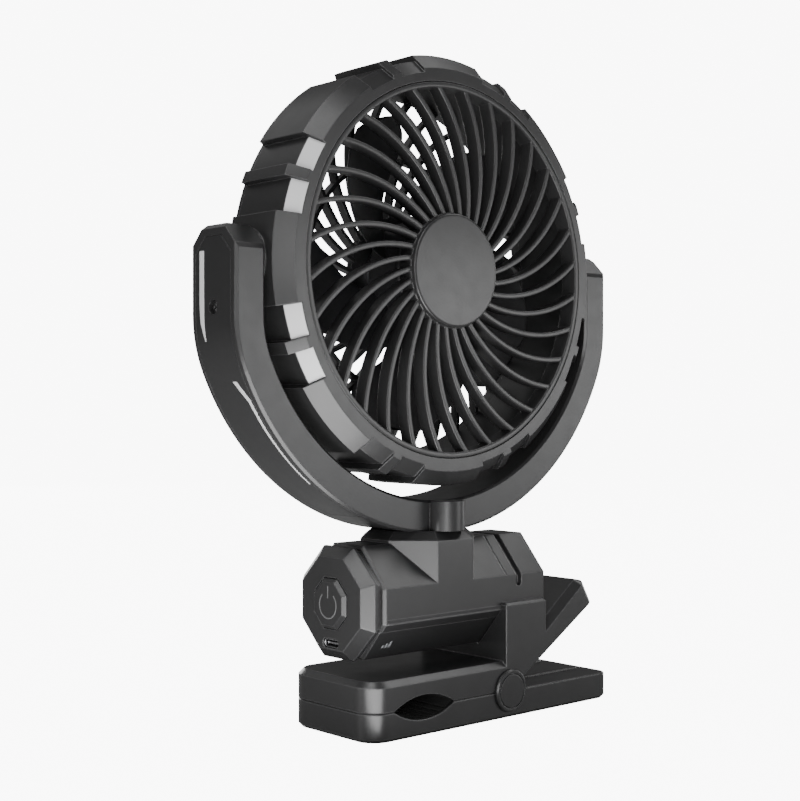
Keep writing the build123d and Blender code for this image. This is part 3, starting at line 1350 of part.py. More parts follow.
def motor_shaft():
    """Steel shaft from the motor into the impeller."""
    low = MOTOR_REAR + SHAFT_TAIL
    return HEAD * rod((0, 0, low), (0, 0, 1), SHAFT_RADIUS, SHAFT_LENGTH)


def blade():
    """One twisted, swept fan blade, from inside the hub's wall to past the tip circle."""
    root = IMPELLER_HUB_RADIUS - IMPELLER_HUB_WALL + BLADE_ROOT_SET
    step = (IMPELLER_RADIUS + IMPELLER_HUB_WALL - root) / 3
    stations = (
        (BLADE_ROOT_CHORD, BLADE_ROOT_PITCH, 0),
        (BLADE_INNER_CHORD, BLADE_INNER_PITCH, BLADE_INNER_SWEEP),
        (BLADE_OUTER_CHORD, BLADE_OUTER_PITCH, BLADE_OUTER_SWEEP),
        (BLADE_TIP_CHORD, BLADE_TIP_PITCH, BLADE_TIP_SWEEP),
    )
    sections = []
    for index, (chord, pitch, sweep) in enumerate(stations):
        radius = root + index * step
        outward = Vector(1, 0, 0).rotate(Axis.Z, -sweep)
        across = Vector(0, 1, 0).rotate(Axis.Z, -sweep)
        lean = math.radians(pitch)
        chord_line = across * math.cos(lean) + Vector(0, 0, math.sin(lean))
        plane = Plane(origin=outward * radius, x_dir=chord_line, z_dir=outward)
        sections.append(plane * Rectangle(chord, BLADE_THICKNESS))
    return loft(sections)


def impeller():
    """Hub cup over the motor with wide twisted blades."""
    hub = turned([
        (0, -IMPELLER_HUB_REAR),
        (IMPELLER_HUB_RADIUS, -IMPELLER_HUB_REAR),
        (IMPELLER_HUB_RADIUS, IMPELLER_HUB_FRONT),
        (0, IMPELLER_HUB_FRONT),
    ])
    limit = rod((0, 0, -RING_FRONT), (0, 0, 1), IMPELLER_RADIUS, 2 * RING_FRONT)
    one = blade() & limit
    turns = [BLADE_PHASE + i * 360.0 / BLADE_COUNT for i in range(BLADE_COUNT)]
    fan = hub + [Rot(0, 0, turn) * one for turn in turns]
    inner = IMPELLER_HUB_RADIUS - IMPELLER_HUB_WALL
    room = IMPELLER_HUB_REAR + IMPELLER_HUB_FRONT - IMPELLER_PLATE
    fan -= rod((0, 0, -IMPELLER_HUB_REAR), (0, 0, 1), inner, room)
    boss_length = MOTOR_GAP + IMPELLER_PLATE - IMPELLER_BOSS_GAP
    fan += rod((0, 0, IMPELLER_HUB_FRONT), (0, 0, -1), IMPELLER_BOSS_RADIUS, boss_length)
    bore = SHAFT_RADIUS + IMPELLER_BORE_CLEARANCE
    return HEAD * (fan - rod((0, 0, 0), (0, 0, 1), bore, RING_FRONT))


def save(name, shape):
    """Write one piece, or a group of like pieces, as one node."""
    solids = []
    for item in shape if isinstance(shape, list) else [shape]:
        solids += item.solids()
    result = solids[0] if len(solids) == 1 else Compound(children=solids)
    export_step(result, f"parts/{name}.step")


def main():
    """Build every piece and write it under its node's name."""
    os.makedirs("parts", exist_ok=True)
    head_inserts = [HEAD * piece for piece in ring_accents()]
    pieces = {
        "lower_jaw": lower_jaw(),
        "lower_jaw_pad": jaw_pad(True),
        "hinge_pin": hinge_pin(),
        "hinge_caps": hinge_caps(),
        "clip_spring": clip_spring(),
        "upper_clamp": upper_clamp(),
        "upper_jaw_pad": jaw_pad(False),
        "barrel_upper_shell": barrel_upper_shell(),
        "barrel_lower_shell": barrel_lower_shell(),
        "button_end_cap": button_end_cap(),
        "button_board": button_board(),
        "button_switch": button_switch(),
        "power_button": power_button(),
        "battery_cells": cell_cylinders(0),
        "cell_tray": cell_tray(),
        "charge_board": charge_board(),
        "usb_c_socket": usb_c_socket(),
        "indicator_lenses": indicator_lenses(),
        "shell_screws": shell_screws(),
        "yoke_frame": yoke_frame(),
        "yoke_cover_left": yoke_cover(-1),
        "yoke_cover_right": yoke_cover(1),
        "yoke_accents": accent_prisms(ACCENT_DEPTH),
        "cover_screws": cover_screws(),
        "swivel_post": swivel_post(),
        "swivel_retainer": swivel_retainer(),
        "tilt_washers": tilt_washers(),
        "tilt_pivots": tilt_pivots(),
        "ring_housing": ring_housing(),
        "ring_accents": head_inserts,
        "front_grille": front_grille(),
        "hub_cap": hub_cap(),
        "rear_cover": rear_cover(),
        "rear_screws": rear_screws(),
        "motor": motor(),
        "motor_screws": motor_screws(),
        "motor_shaft": motor_shaft(),
        "impeller": impeller(),
    }
    for name, shape in pieces.items():
        save(name, shape)


main()
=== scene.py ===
"""Looks of the clip-on fan: charcoal moulded plastic, silver inserts, a swirled guard and a swept fan wheel."""
import json
import math

import bmesh
import bpy
import numpy as np
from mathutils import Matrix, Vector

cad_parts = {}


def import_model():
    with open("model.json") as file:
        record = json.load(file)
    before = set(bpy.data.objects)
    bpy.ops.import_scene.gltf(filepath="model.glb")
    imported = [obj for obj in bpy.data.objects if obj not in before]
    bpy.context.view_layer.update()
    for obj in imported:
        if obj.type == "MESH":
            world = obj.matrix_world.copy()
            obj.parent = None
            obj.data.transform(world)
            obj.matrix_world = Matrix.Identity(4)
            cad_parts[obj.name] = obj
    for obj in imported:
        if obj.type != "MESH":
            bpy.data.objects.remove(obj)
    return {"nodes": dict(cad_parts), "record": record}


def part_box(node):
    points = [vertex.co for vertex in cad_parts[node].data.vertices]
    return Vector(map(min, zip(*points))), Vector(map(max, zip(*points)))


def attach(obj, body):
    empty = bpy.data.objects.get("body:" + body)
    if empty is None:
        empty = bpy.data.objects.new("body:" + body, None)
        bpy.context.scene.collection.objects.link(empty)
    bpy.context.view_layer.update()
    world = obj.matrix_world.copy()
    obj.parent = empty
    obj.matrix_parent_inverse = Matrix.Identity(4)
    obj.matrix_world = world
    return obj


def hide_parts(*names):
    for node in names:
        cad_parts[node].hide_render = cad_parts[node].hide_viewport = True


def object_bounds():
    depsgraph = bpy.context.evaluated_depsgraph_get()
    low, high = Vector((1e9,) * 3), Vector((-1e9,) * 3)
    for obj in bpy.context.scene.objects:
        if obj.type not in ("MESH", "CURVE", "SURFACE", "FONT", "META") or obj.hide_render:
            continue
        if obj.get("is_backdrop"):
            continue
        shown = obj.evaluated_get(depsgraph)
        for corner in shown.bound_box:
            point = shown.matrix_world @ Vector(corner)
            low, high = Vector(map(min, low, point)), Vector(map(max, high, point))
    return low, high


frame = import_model()
cad_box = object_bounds()
nodes = frame["nodes"]
joints = {joint["name"]: joint for joint in frame["record"]["behaviour"]["joints"]}

MM = 0.001
FULL_TURN = 2 * np.pi
X_AXIS, Y_AXIS, Z_AXIS = np.eye(3)


# Materials: texture scales per metre, lengths in metres

CLOUD_SCALE, CLOUD_DETAIL = 38.0, 3.0
PATCH_SCALE, PATCH_DETAIL = 140.0, 4.0
PEBBLE_DETAIL, PEBBLE_HEIGHT = 2.0, 0.0002
GLOSS_SPREAD = 0.015
EDGE_SAMPLES = 4
# Painted edge highlight: full where the softened normal meets the face's own at or below the first value, none
# above the second
EDGE_HIGHLIGHT_FULL, EDGE_HIGHLIGHT_NONE = 0.84, 0.985


def shader(name):
    """A new material with its Principled shader, its nodes and its links."""
    material = bpy.data.materials.new(name)
    material.use_nodes = True
    tree = material.node_tree
    return material, tree.nodes["Principled BSDF"], tree.nodes, tree.links


def noise(made, links, place, scale, detail):
    """Noise over object coordinates, with grains of about 1 / scale metres."""
    texture = made.new("ShaderNodeTexNoise")
    texture.inputs["Scale"].default_value = scale
    texture.inputs["Detail"].default_value = detail
    links.new(place.outputs["Object"], texture.inputs["Vector"])
    return texture.outputs["Fac"]


def ramp(made, links, source, low, high, start=0.35, end=0.65):
    """Colour ramp between two greys or colours, driven by a value."""
    node = made.new("ShaderNodeValToRGB")
    first, last = node.color_ramp.elements
    first.position, last.position = start, end
    first.color, last.color = (*low, 1.0), (*high, 1.0)
    links.new(source, node.inputs["Fac"])
    return node.outputs["Color"]


def moulded(name, colour, roughness, grain=1400.0, bump=0.05, spread=0.03, metallic=0.0, specular=0.5,
            edge=0.0005, edge_highlight=0.35, highlight_gain=1.9):
    """Moulded plastic: faint cloudy colour, patchy gloss, fine pebbled grain, softened edges and a painted
    highlight. An edge is where the softened normal leaves the face's own, and there the colour is painted lighter
    by the given factor, as light on a round edge."""
    material, skin, made, links = shader(name)
    place = made.new("ShaderNodeTexCoord")
    dark = [c * (1.0 - spread) for c in colour]
    light = [min(1.0, c * (1.0 + spread)) for c in colour]
    tint = ramp(made, links, noise(made, links, place, CLOUD_SCALE, CLOUD_DETAIL), dark, light)
    gloss = ramp(made, links, noise(made, links, place, PATCH_SCALE, PATCH_DETAIL),
                 [roughness - GLOSS_SPREAD] * 3, [roughness + GLOSS_SPREAD] * 3)
    links.new(gloss, skin.inputs["Roughness"])

    soft = made.new("ShaderNodeBevel")
    soft.samples = EDGE_SAMPLES
    soft.inputs["Radius"].default_value = edge
    solid = made.new("ShaderNodeNewGeometry")
    turn = made.new("ShaderNodeVectorMath")
    turn.operation = "DOT_PRODUCT"
    links.new(soft.outputs["Normal"], turn.inputs[0])
    links.new(solid.outputs["True Normal"], turn.inputs[1])
    # Painted highlight: the colour is mixed towards a lighter copy where the edge bends, in place of light caught
    # by rounded edges
    highlight_mask = ramp(made, links, turn.outputs["Value"], [edge_highlight] * 3, [0.0] * 3, EDGE_HIGHLIGHT_FULL, EDGE_HIGHLIGHT_NONE)
    highlit = made.new("ShaderNodeMix")
    highlit.data_type = "RGBA"
    links.new(highlight_mask, highlit.inputs["Factor"])
    links.new(tint, highlit.inputs["A"])
    highlit.inputs["B"].default_value = (*[min(1.0, c * highlight_gain) for c in colour], 1.0)
    links.new(highlit.outputs["Result"], skin.inputs["Base Color"])

    relief = made.new("ShaderNodeBump")
    relief.inputs["Strength"].default_value = bump
    relief.inputs["Distance"].default_value = PEBBLE_HEIGHT
    links.new(noise(made, links, place, grain, PEBBLE_DETAIL), relief.inputs["Height"])
    links.new(soft.outputs["Normal"], relief.inputs["Normal"])
    links.new(relief.outputs["Normal"], skin.inputs["Normal"])
    skin.inputs["Metallic"].default_value = metallic
    skin.inputs["Specular IOR Level"].default_value = specular
    return material


# Each finish's painted edge highlight: how strongly it is mixed in and how much lighter the edge colour is
CHARCOAL = moulded("charcoal_plastic", (0.017, 0.017, 0.0174), 0.32, specular=0.6, edge_highlight=0.9, highlight_gain=4.5)
COVER = moulded("cover_plastic", (0.014, 0.014, 0.0144), 0.34, specular=0.55, edge_highlight=0.0, edge=0.0003)
BRACKET = moulded("bracket_plastic", (0.016, 0.016, 0.0164), 0.32, specular=0.6, edge_highlight=0.1)
GRILLE = moulded("grille_plastic", (0.020, 0.020, 0.0204), 0.34, specular=0.6)
BLADE = moulded("blade_plastic", (0.020, 0.020, 0.021), 0.38)
SHELL = moulded("shell_plastic", (0.017, 0.017, 0.0174), 0.31, specular=0.65, edge=0.0008, edge_highlight=1.0, highlight_gain=6.0)
SILVER = moulded("silver_plastic", (0.54, 0.54, 0.545), 0.38, bump=0.02, spread=0.02)
SCREW = moulded("black_steel", (0.03, 0.03, 0.031), 0.35, bump=0.02, metallic=0.6)
RUBBER = moulded("pad_rubber", (0.018, 0.018, 0.018), 0.72, grain=900.0, bump=0.15)
STEEL = moulded("bright_steel", (0.45, 0.45, 0.46), 0.28, bump=0.03, metallic=1.0)
CELL = moulded("cell_sleeve", (0.12, 0.22, 0.32), 0.3, bump=0.01)
MOTOR = moulded("motor_can", (0.42, 0.43, 0.45), 0.36, bump=0.02, metallic=1.0)
BOARD = moulded("circuit_board", (0.02, 0.12, 0.05), 0.35, bump=0.02)
MARK = moulded("mark_ink", (0.11, 0.11, 0.112), 0.5, bump=0.0)
LENS = moulded("clear_lens", (0.22, 0.23, 0.24), 0.12, bump=0.0, spread=0.02)

FINISHES = {
    CHARCOAL: ("hinge_caps", "tilt_washers", "ring_housing", "rear_cover", "hub_cap", "power_button"),
    SHELL: ("lower_jaw", "upper_clamp", "barrel_upper_shell", "barrel_lower_shell", "button_end_cap"),
    BRACKET: ("yoke_frame",),
    COVER: ("yoke_cover_left", "yoke_cover_right", "cell_tray", "button_switch"),
    GRILLE: ("front_grille",),
    BLADE: ("impeller",),
    SILVER: ("ring_accents", "yoke_accents"),
    RUBBER: ("lower_jaw_pad", "upper_jaw_pad"),
    STEEL: ("hinge_pin", "clip_spring", "shell_screws", "cover_screws", "swivel_post", "swivel_retainer",
            "tilt_pivots", "rear_screws", "motor_screws", "motor_shaft", "usb_c_socket"),
    CELL: ("battery_cells",),
    MOTOR: ("motor",),
    BOARD: ("button_board", "charge_board"),
    LENS: ("indicator_lenses",),
}
for finish, names in FINISHES.items():
    for name in names:
        nodes[name].data.materials.clear()
        nodes[name].data.materials.append(finish)


# Surfaces: points in millimetres and the quads between them

MERGE_DISTANCE = 1e-7
SHARP_ANGLE = math.radians(38.0)


def sheet(points, wrap_rows=False, wrap_columns=False):
    """Points on a grid and the quads between them; a wrapped direction joins its last line to its first."""
    index = np.arange(points.shape[0] * points.shape[1]).reshape(points.shape[:2])
    if wrap_rows:
        index = np.vstack([index, index[:1]])
    if wrap_columns:
        index = np.hstack([index, index[:, :1]])
    quads = np.stack([index[:-1, :-1], index[1:, :-1], index[1:, 1:], index[:-1, 1:]], axis=-1)
    return points.reshape(-1, 3), quads.reshape(-1, 4)


def joined(parts):
    """Several surfaces as one list of points and one of quads."""
    starts = np.cumsum([0] + [len(points) for points, quads in parts[:-1]])
    points = np.concatenate([points for points, quads in parts])
    return points, np.concatenate([quads + start for (_, quads), start in zip(parts, starts)])


def eased(corners, ease, steps=5):
    """Closed outline with each corner P replaced by the curve (1-t)^2 A + 2t(1-t) P + t^2 B, where A and B are
    an ease away from P towards its neighbours."""
    corners = np.asarray(corners, float)
    before = np.roll(corners, 1, axis=0) - corners
    after = np.roll(corners, -1, axis=0) - corners
    ease = np.broadcast_to(np.asarray(ease, float), len(corners))[:, None]
    a = corners + before / np.linalg.norm(before, axis=1, keepdims=True) * ease
    b = corners + after / np.linalg.norm(after, axis=1, keepdims=True) * ease
    t = np.linspace(0, 1, steps)[None, :, None]
    curve = (1 - t) ** 2 * a[:, None] + 2 * t * (1 - t) * corners[:, None] + t**2 * b[:, None]
    return curve.reshape(-1, 2)


def turned(profile, steps=160, bored=False):
    """Profile of radius and height carried round the z axis: (r cos a, r sin a, h). A bored one closes on
    itself, and any other starts and ends on the axis."""
    angle = np.linspace(0, FULL_TURN, steps, endpoint=False)[:, None]
    radius, height = profile.T
    points = np.stack([radius * np.cos(angle), radius * np.sin(angle), height + 0 * angle], axis=-1)
    return sheet(points, wrap_rows=True, wrap_columns=bored)


def tube(rings):
    """Rows of a closed section joined into a tube, its ends drawn in to their middles."""
    first = np.broadcast_to(rings[0].mean(axis=0), rings[:1].shape)
    last = np.broadcast_to(rings[-1].mean(axis=0), rings[:1].shape)
    return sheet(np.concatenate([first, rings, last]), wrap_columns=True)


def swept(path, across, upward, section):
    """Section (a, b) carried along a path as P + a * across + b * upward."""
    sideways = section[None, :, :1] * across[:, None]
    return tube(path[:, None] + sideways + section[None, :, 1:] * upward[:, None])


def even_degrees(count):
    """Angles that divide a full turn evenly."""
    return np.arange(count) * 360.0 / count


def repeated(part, degrees):
    """The same surface turned about the z axis by each of the angles."""
    points, quads = part
    turn = np.radians(degrees)[:, None]
    x, y, z = points.T
    spun_x = x * np.cos(turn) - y * np.sin(turn)
    spun_y = x * np.sin(turn) + y * np.cos(turn)
    spun = np.stack([spun_x, spun_y, z + 0 * turn], axis=-1)
    starts = np.arange(len(turn))[:, None, None] * len(points)
    return spun.reshape(-1, 3), (quads[None] + starts).reshape(-1, 4)


def placed(part, origin, right, up):
    """Local x, y and z laid along right, up and right x up, from an origin."""
    points, quads = part
    axes = np.stack([right, up, np.cross(right, up)])
    return points @ axes + np.asarray(origin, float), quads


def piece(name, parts, finish, body, replaced=()):
    """Mesh of surfaces: doubles merged, faces outward, soft shading up to the sharp angle."""
    points, quads = joined(parts)
    mesh = bpy.data.meshes.new(name)
    mesh.vertices.add(len(points))
    mesh.vertices.foreach_set("co", (points * MM).ravel())
    mesh.loops.add(quads.size)
    mesh.loops.foreach_set("vertex_index", quads.ravel())
    mesh.polygons.add(len(quads))
    mesh.polygons.foreach_set("loop_start", np.arange(0, quads.size, 4))
    mesh.update(calc_edges=True)
    skin = bmesh.new()
    skin.from_mesh(mesh)
    bmesh.ops.remove_doubles(skin, verts=skin.verts, dist=MERGE_DISTANCE)
    bmesh.ops.recalc_face_normals(skin, faces=skin.faces)
    skin.to_mesh(mesh)
    skin.free()
    mesh.shade_smooth()
    mesh.set_sharp_from_angle(angle=SHARP_ANGLE)
    mesh.materials.append(finish)
    made = bpy.data.objects.new(name, mesh)
    bpy.context.scene.collection.objects.link(made)
    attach(made, body)
    if replaced:
        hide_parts(*replaced)


# Fan head: right, up and forward from the tilt axis

HEAD_Z = joints["tilt"]["pos_m"][2] / MM
SEAT_Z = 13.8
FACE_Z = 21.2
RIM_INNER, RIM_OUTER = 70.9, 73.2
RIM_EASES = (0.2, 0.2, 0.5, 0.7)
HUB_RADIUS = 22.6
HUB_EASES = (0.0, 0.6, 0.5, 0.0)
RIB_COUNT = 32
RIB_FOOT_Z, RIB_TOP_Z = 14.8, 20.8
RIB_FOOT_HALF, RIB_TOP_HALF = 0.85, 1.05
RIB_EASES = (0.3, 0.3, 0.55, 0.55)
RIB_LAP = 1.15
RIB_BEND_RADIUS = 40.6
RIB_DEGREES = (68.4, 79.4, 96.3)


def on_head(part):
    """From the head's right, up and forward to the frame."""
    return placed(part, (0, 0, HEAD_Z), X_AXIS, Z_AXIS)


def swirl_rib(inner, bend, outer, degrees, section, steps=40):
    """Rib on the circle through three polar points, its section standing on the circle's own radius."""
    turn = np.radians(degrees)
    ends = np.array([inner, bend, outer])[:, None] * np.stack([np.cos(turn), np.sin(turn)], axis=-1)
    sides = 2 * (ends[1:] - ends[0])
    centre = np.linalg.solve(sides, (ends[1:] ** 2).sum(axis=1) - (ends[0] ** 2).sum())
    spokes = ends - centre
    radius = np.hypot(*spokes[0])
    swing = np.unwrap(np.arctan2(spokes[:, 1], spokes[:, 0]))
    angle = np.linspace(swing[0], swing[2], steps)
    across = np.stack([np.cos(angle), np.sin(angle), 0 * angle], axis=-1)
    path = np.append(centre, 0) + radius * across
    return swept(path, across, np.broadcast_to(Z_AXIS, across.shape), section)


def front_guard():
    """Turned rim and hub, and ribs of a rounded, slightly tapered section on arcs from hub to rim."""
    rim = turned(eased([(RIM_INNER, SEAT_Z), (RIM_OUTER, SEAT_Z), (RIM_OUTER, FACE_Z), (RIM_INNER, FACE_Z)],
                       RIM_EASES), bored=True)
    hub = turned(eased([(0, SEAT_Z), (HUB_RADIUS, SEAT_Z), (HUB_RADIUS, RIB_TOP_Z), (0, RIB_TOP_Z)], HUB_EASES))
    section = eased([(-RIB_FOOT_HALF, RIB_FOOT_Z), (RIB_FOOT_HALF, RIB_FOOT_Z),
                     (RIB_TOP_HALF, RIB_TOP_Z), (-RIB_TOP_HALF, RIB_TOP_Z)], RIB_EASES)
    rib = swirl_rib(HUB_RADIUS - RIB_LAP, RIB_BEND_RADIUS, RIM_INNER + RIB_LAP, RIB_DEGREES, section)
    return [on_head(part) for part in (rim, hub, repeated(rib, even_degrees(RIB_COUNT)))]


DISC_FACE_RADIUS, DISC_RADIUS = 21.3, 22.2
DISC_TOP_Z, DISC_EDGE_Z = 22.8, 22.3
DISC_RISE = 0.25
DISC_EASES = (0.05, 0.6, 0.2, 0.0)


def hub_disc():
    """Turned disc with a round edge and a face that rises by a parabola to its middle."""
    radius = np.linspace(0, DISC_FACE_RADIUS, 20)
    face = np.stack([radius, DISC_TOP_Z - DISC_RISE * (radius / DISC_FACE_RADIUS) ** 2], axis=-1)
    edge = eased([face[-1], (DISC_RADIUS, DISC_EDGE_Z), (DISC_RADIUS, RIB_TOP_Z), (0, RIB_TOP_Z)], DISC_EASES)
    return [on_head(turned(np.concatenate([face, edge])))]


BLADE_COUNT = 5
WHEEL_RADIUS = 63.6
BLADE_PHASE = 8.7
BLADE_STATIONS = np.linspace(18.0, 67.0, 4)
BLADE_CHORDS = (17.0, 38.0, 50.0, 20.0)
BLADE_PITCHES = (39.0, 23.0, 15.0, 13.0)
BLADE_SWEEPS = (0.0, 16.0, 33.0, 42.0)
BLADE_ROOT_THICKNESS, BLADE_THINNING = 2.0, 0.7
BLADE_CAMBER = 0.035
BLADE_FULLNESS = 0.7
TIP_LENGTH, TIP_NARROWING, TIP_POWER = 7.0, 0.16, 2.4
CUP_PROFILE = ((1.55, 12.0), (21.0, 12.0), (21.0, -6.0), (17.6, -6.0),
               (17.6, 9.5), (4.0, 9.5), (4.0, 7.6), (1.55, 7.6))
CUP_EASES = (0.1, 2.2, 0.4, 0.3, 0.8, 0.3, 0.3, 0.1)


def fan_blade(rows=36, columns=48):
    """Blade over radius and a turn round its section: a flattened oval of chord c and thickness w, cambered by a
    parabola, pitched about the radius, swept back with it and wrapped round the axle by atan(y / r)."""
    def along(values):
        return np.polyval(np.polyfit(BLADE_STATIONS, values, 3), radius)

    radius = np.linspace(BLADE_STATIONS[0], WHEEL_RADIUS, rows)[:, None]
    turn = np.linspace(0, FULL_TURN, columns, endpoint=False)[None, :]
    near_tip = np.clip((radius - WHEEL_RADIUS + TIP_LENGTH) / TIP_LENGTH, 0, 1)
    chord = along(BLADE_CHORDS) * (1 - TIP_NARROWING * near_tip**TIP_POWER)
    thickness = BLADE_ROOT_THICKNESS - BLADE_THINNING * (radius - radius[0]) / (radius[-1] - radius[0])
    c = chord / 2 * np.sign(np.cos(turn)) * np.abs(np.cos(turn)) ** BLADE_FULLNESS
    w = thickness / 2 * np.sign(np.sin(turn)) * np.abs(np.sin(turn)) ** BLADE_FULLNESS
    w = w - BLADE_CAMBER * chord * (1 - (2 * c / chord) ** 2)
    pitch, sweep = np.radians(along(BLADE_PITCHES)), np.radians(along(BLADE_SWEEPS))
    y = c * np.cos(pitch) - w * np.sin(pitch)
    z = c * np.sin(pitch) + w * np.cos(pitch)
    angle = np.arctan(y / radius) - sweep
    return tube(np.stack([radius * np.cos(angle), radius * np.sin(angle), z], axis=-1))


def fan_wheel():
    """Turned hub cup with a bore, and the blades at even angles."""
    cup = turned(eased(CUP_PROFILE, CUP_EASES), bored=True)
    blades = repeated(fan_blade(), BLADE_PHASE + even_degrees(BLADE_COUNT))
    return [on_head(part) for part in (cup, blades)]


piece("swirl_guard", front_guard(), GRILLE, "head", ("front_grille",))
piece("hub_disc", hub_disc(), CHARCOAL, "head", ("hub_cap",))
piece("fan_wheel", fan_wheel(), BLADE, "impeller", ("impeller",))


# Screws with crossed heads: the cross and the dome in shares of the head's radius

HEAD_RADIUS, SHANK_RADIUS = 2.6, 1.4
HEAD_DOME = 0.10
CROSS_HALF_WIDTH, CROSS_HALF_LENGTH, CROSS_DEPTH = 0.17, 0.62, 0.30
CROSS_SIDE_TOP, CROSS_SIDE_STEP = 1.25, 0.5
CROSS_END_TOP, CROSS_END_STEP = 1.12, 0.25
THREAD_DEPTH, THREAD_PITCH = 0.12, 0.9
POINT_LENGTH, POINT_NARROWING = 1.2, 0.6
SHANK_LAP = 0.2
MOTOR_SCREW_CIRCLE, MOTOR_SCREW_COUNT = 10, 3


def crossed_head(height, sides=41):
    """Screw head over a square grid u, v laid on a disc by (u sqrt(1 - v^2/2), v sqrt(1 - u^2/2)): a low dome
    that sinks by a smooth step inside a cross, a straight wall and a flat underside."""
    u, v = np.meshgrid(np.linspace(-1, 1, sides), np.linspace(-1, 1, sides))
    x, y = HEAD_RADIUS * u * np.sqrt(1 - v**2 / 2), HEAD_RADIUS * v * np.sqrt(1 - u**2 / 2)
    reach = np.hypot(x, y) / HEAD_RADIUS
    arm = np.minimum(np.abs(x), np.abs(y)) / (CROSS_HALF_WIDTH * HEAD_RADIUS)
    end = np.maximum(np.abs(x), np.abs(y)) / (CROSS_HALF_LENGTH * HEAD_RADIUS)
    inside = (np.clip((CROSS_SIDE_TOP - arm) / CROSS_SIDE_STEP, 0, 1)
              * np.clip((CROSS_END_TOP - end) / CROSS_END_STEP, 0, 1))
    top = -HEAD_DOME * HEAD_RADIUS * reach**2 - CROSS_DEPTH * HEAD_RADIUS * inside
    crown = np.stack([x, y, top], axis=-1)
    foot = np.stack([x, y, np.full_like(x, -height)], axis=-1)
    rim = np.concatenate([np.arange(sides), sides * np.arange(2, sides + 1) - 1,
                          sides * sides - 2 - np.arange(sides - 1), sides * np.arange(sides - 2, 0, -1)])
    wall = np.stack([crown.reshape(-1, 3)[rim], foot.reshape(-1, 3)[rim]])
    return joined([sheet(crown), sheet(foot), sheet(wall, wrap_columns=True)])


def screw(head_height, shank_length):
    """Crossed head with its top at the origin, and below it a turned shank whose radius follows a cosine in its
    length, for the thread, and narrows by a square to the point."""
    length = np.linspace(0, shank_length, 60)
    groove = SHANK_RADIUS - THREAD_DEPTH * (1 - np.cos(FULL_TURN * length / THREAD_PITCH)) / 2
    near_point = np.clip((length - shank_length + POINT_LENGTH) / POINT_LENGTH, 0, 1)
    height = -head_height + SHANK_LAP - length
    side = np.stack([groove * (1 - POINT_NARROWING * near_point**2), height], axis=-1)
    profile = np.concatenate([[(0, height[0])], side, [(0, height[-1])]])
    return joined([crossed_head(head_height), turned(profile, 24)])


def corners_of(name):
    """Lowest and highest corner of a node's box."""
    return [np.array(corner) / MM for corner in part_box(name)]


def rear_screw_set():
    """Four screws at 45, 135, 225 and 315 degrees round the head, heads backwards."""
    low, high = corners_of("rear_screws")
    reach = (high[0] - low[0]) / 2 - HEAD_RADIUS
    spots = np.array([(1, 1), (-1, 1), (-1, -1), (1, -1)]) * reach
    one = screw(1.2, 8.0)
    return [placed(one, (x, high[1], HEAD_Z + z), Z_AXIS, X_AXIS) for x, z in spots]


def motor_screw_set():
    """Screws at even angles round the motor's axle, heads backwards."""
    back = corners_of("motor_screws")[1][1]
    angles = np.radians(even_degrees(MOTOR_SCREW_COUNT))
    spots = MOTOR_SCREW_CIRCLE * np.stack([np.cos(angles), np.sin(angles)], axis=-1)
    one = screw(1.0, 3.0)
    return [placed(one, (x, back, HEAD_Z + z), Z_AXIS, X_AXIS) for x, z in spots]


def cover_screw_set():
    """One screw in each arm of the yoke, heads outwards."""
    low, high = corners_of("cover_screws")
    _, y, z = (low + high) / 2
    one = screw(0.8, 6.0)
    return [placed(one, (high[0], y, z), Y_AXIS, Z_AXIS), placed(one, (low[0], y, z), Z_AXIS, Y_AXIS)]


def shell_screw_set():
    """Two screws under the barrel, heads down."""
    low, high = corners_of("shell_screws")
    x = (low[0] + high[0]) / 2
    one = screw(2.0, 18.0)
    return [placed(one, (x, y, low[2]), Y_AXIS, X_AXIS) for y in (low[1] + HEAD_RADIUS, high[1] - HEAD_RADIUS)]


piece("rear_cross_screws", rear_screw_set(), STEEL, "head", ("rear_screws",))
piece("motor_cross_screws", motor_screw_set(), STEEL, "head", ("motor_screws",))
piece("cover_cross_screws", cover_screw_set(), SCREW, "yoke", ("cover_screws",))
piece("shell_cross_screws", shell_screw_set(), STEEL, "clamp", ("shell_screws",))


# Clip: spring, rubber and power mark

HINGE_X, HINGE_Z = joints["clip_hinge"]["pos_m"][0] / MM, joints["clip_hinge"]["pos_m"][2] / MM
COIL_RADIUS = 5.5
COIL_STEPS = 260
WIRE_RADIUS = 0.76
WIRE_SIDES = 14
LEG_START, LEG_LENGTH, LEG_STEPS = 0.5, 15.0, 12
LEG_SIDE = 4.2
LEVER_SLOPE = math.radians(32.0)
LEVER_LINE = np.array([math.cos(LEVER_SLOPE), 0, math.sin(LEVER_SLOPE)])
COIL_START, COIL_END = math.pi / 2 + LEVER_SLOPE, 9.5 * math.pi
LEG_LAP = math.radians(32.0)
LAP_FIT = 0.05
LAP_STEPS = 16


def wire(path, radius):
    """Round wire: a circle carried square to a path that is given from the hinge's axis."""
    ahead = np.gradient(path, axis=0)
    ahead /= np.linalg.norm(ahead, axis=1, keepdims=True)
    across = np.cross(ahead, Y_AXIS)
    across /= np.linalg.norm(across, axis=1, keepdims=True)
    turn = np.linspace(0, FULL_TURN, WIRE_SIDES, endpoint=False)
    ring = radius * np.stack([np.cos(turn), np.sin(turn)], axis=-1)
    return swept(path + (HINGE_X, 0, HINGE_Z), across, np.cross(across, ahead), ring)


def coil_line(angle):
    """Helix (R cos a, y, R sin a) about the hinge's axis: y stays over the lap, then grows evenly with a."""
    first = COIL_START + LEG_LAP
    y = LEG_SIDE * (2 * np.clip((angle - first) / (COIL_END - first), 0, 1) - 1)
    return np.stack([COIL_RADIUS * np.cos(angle), y, COIL_RADIUS * np.sin(angle)], axis=-1)


def wound_spring():
    """Wire along the helix and a straight leg on the tail."""
    coil = coil_line(np.linspace(COIL_START, COIL_END, COIL_STEPS))
    away = np.linspace(LEG_START, LEG_LENGTH, LEG_STEPS)[:, None]
    return [wire(np.concatenate([coil, coil[-1] + away * X_AXIS]), WIRE_RADIUS)]


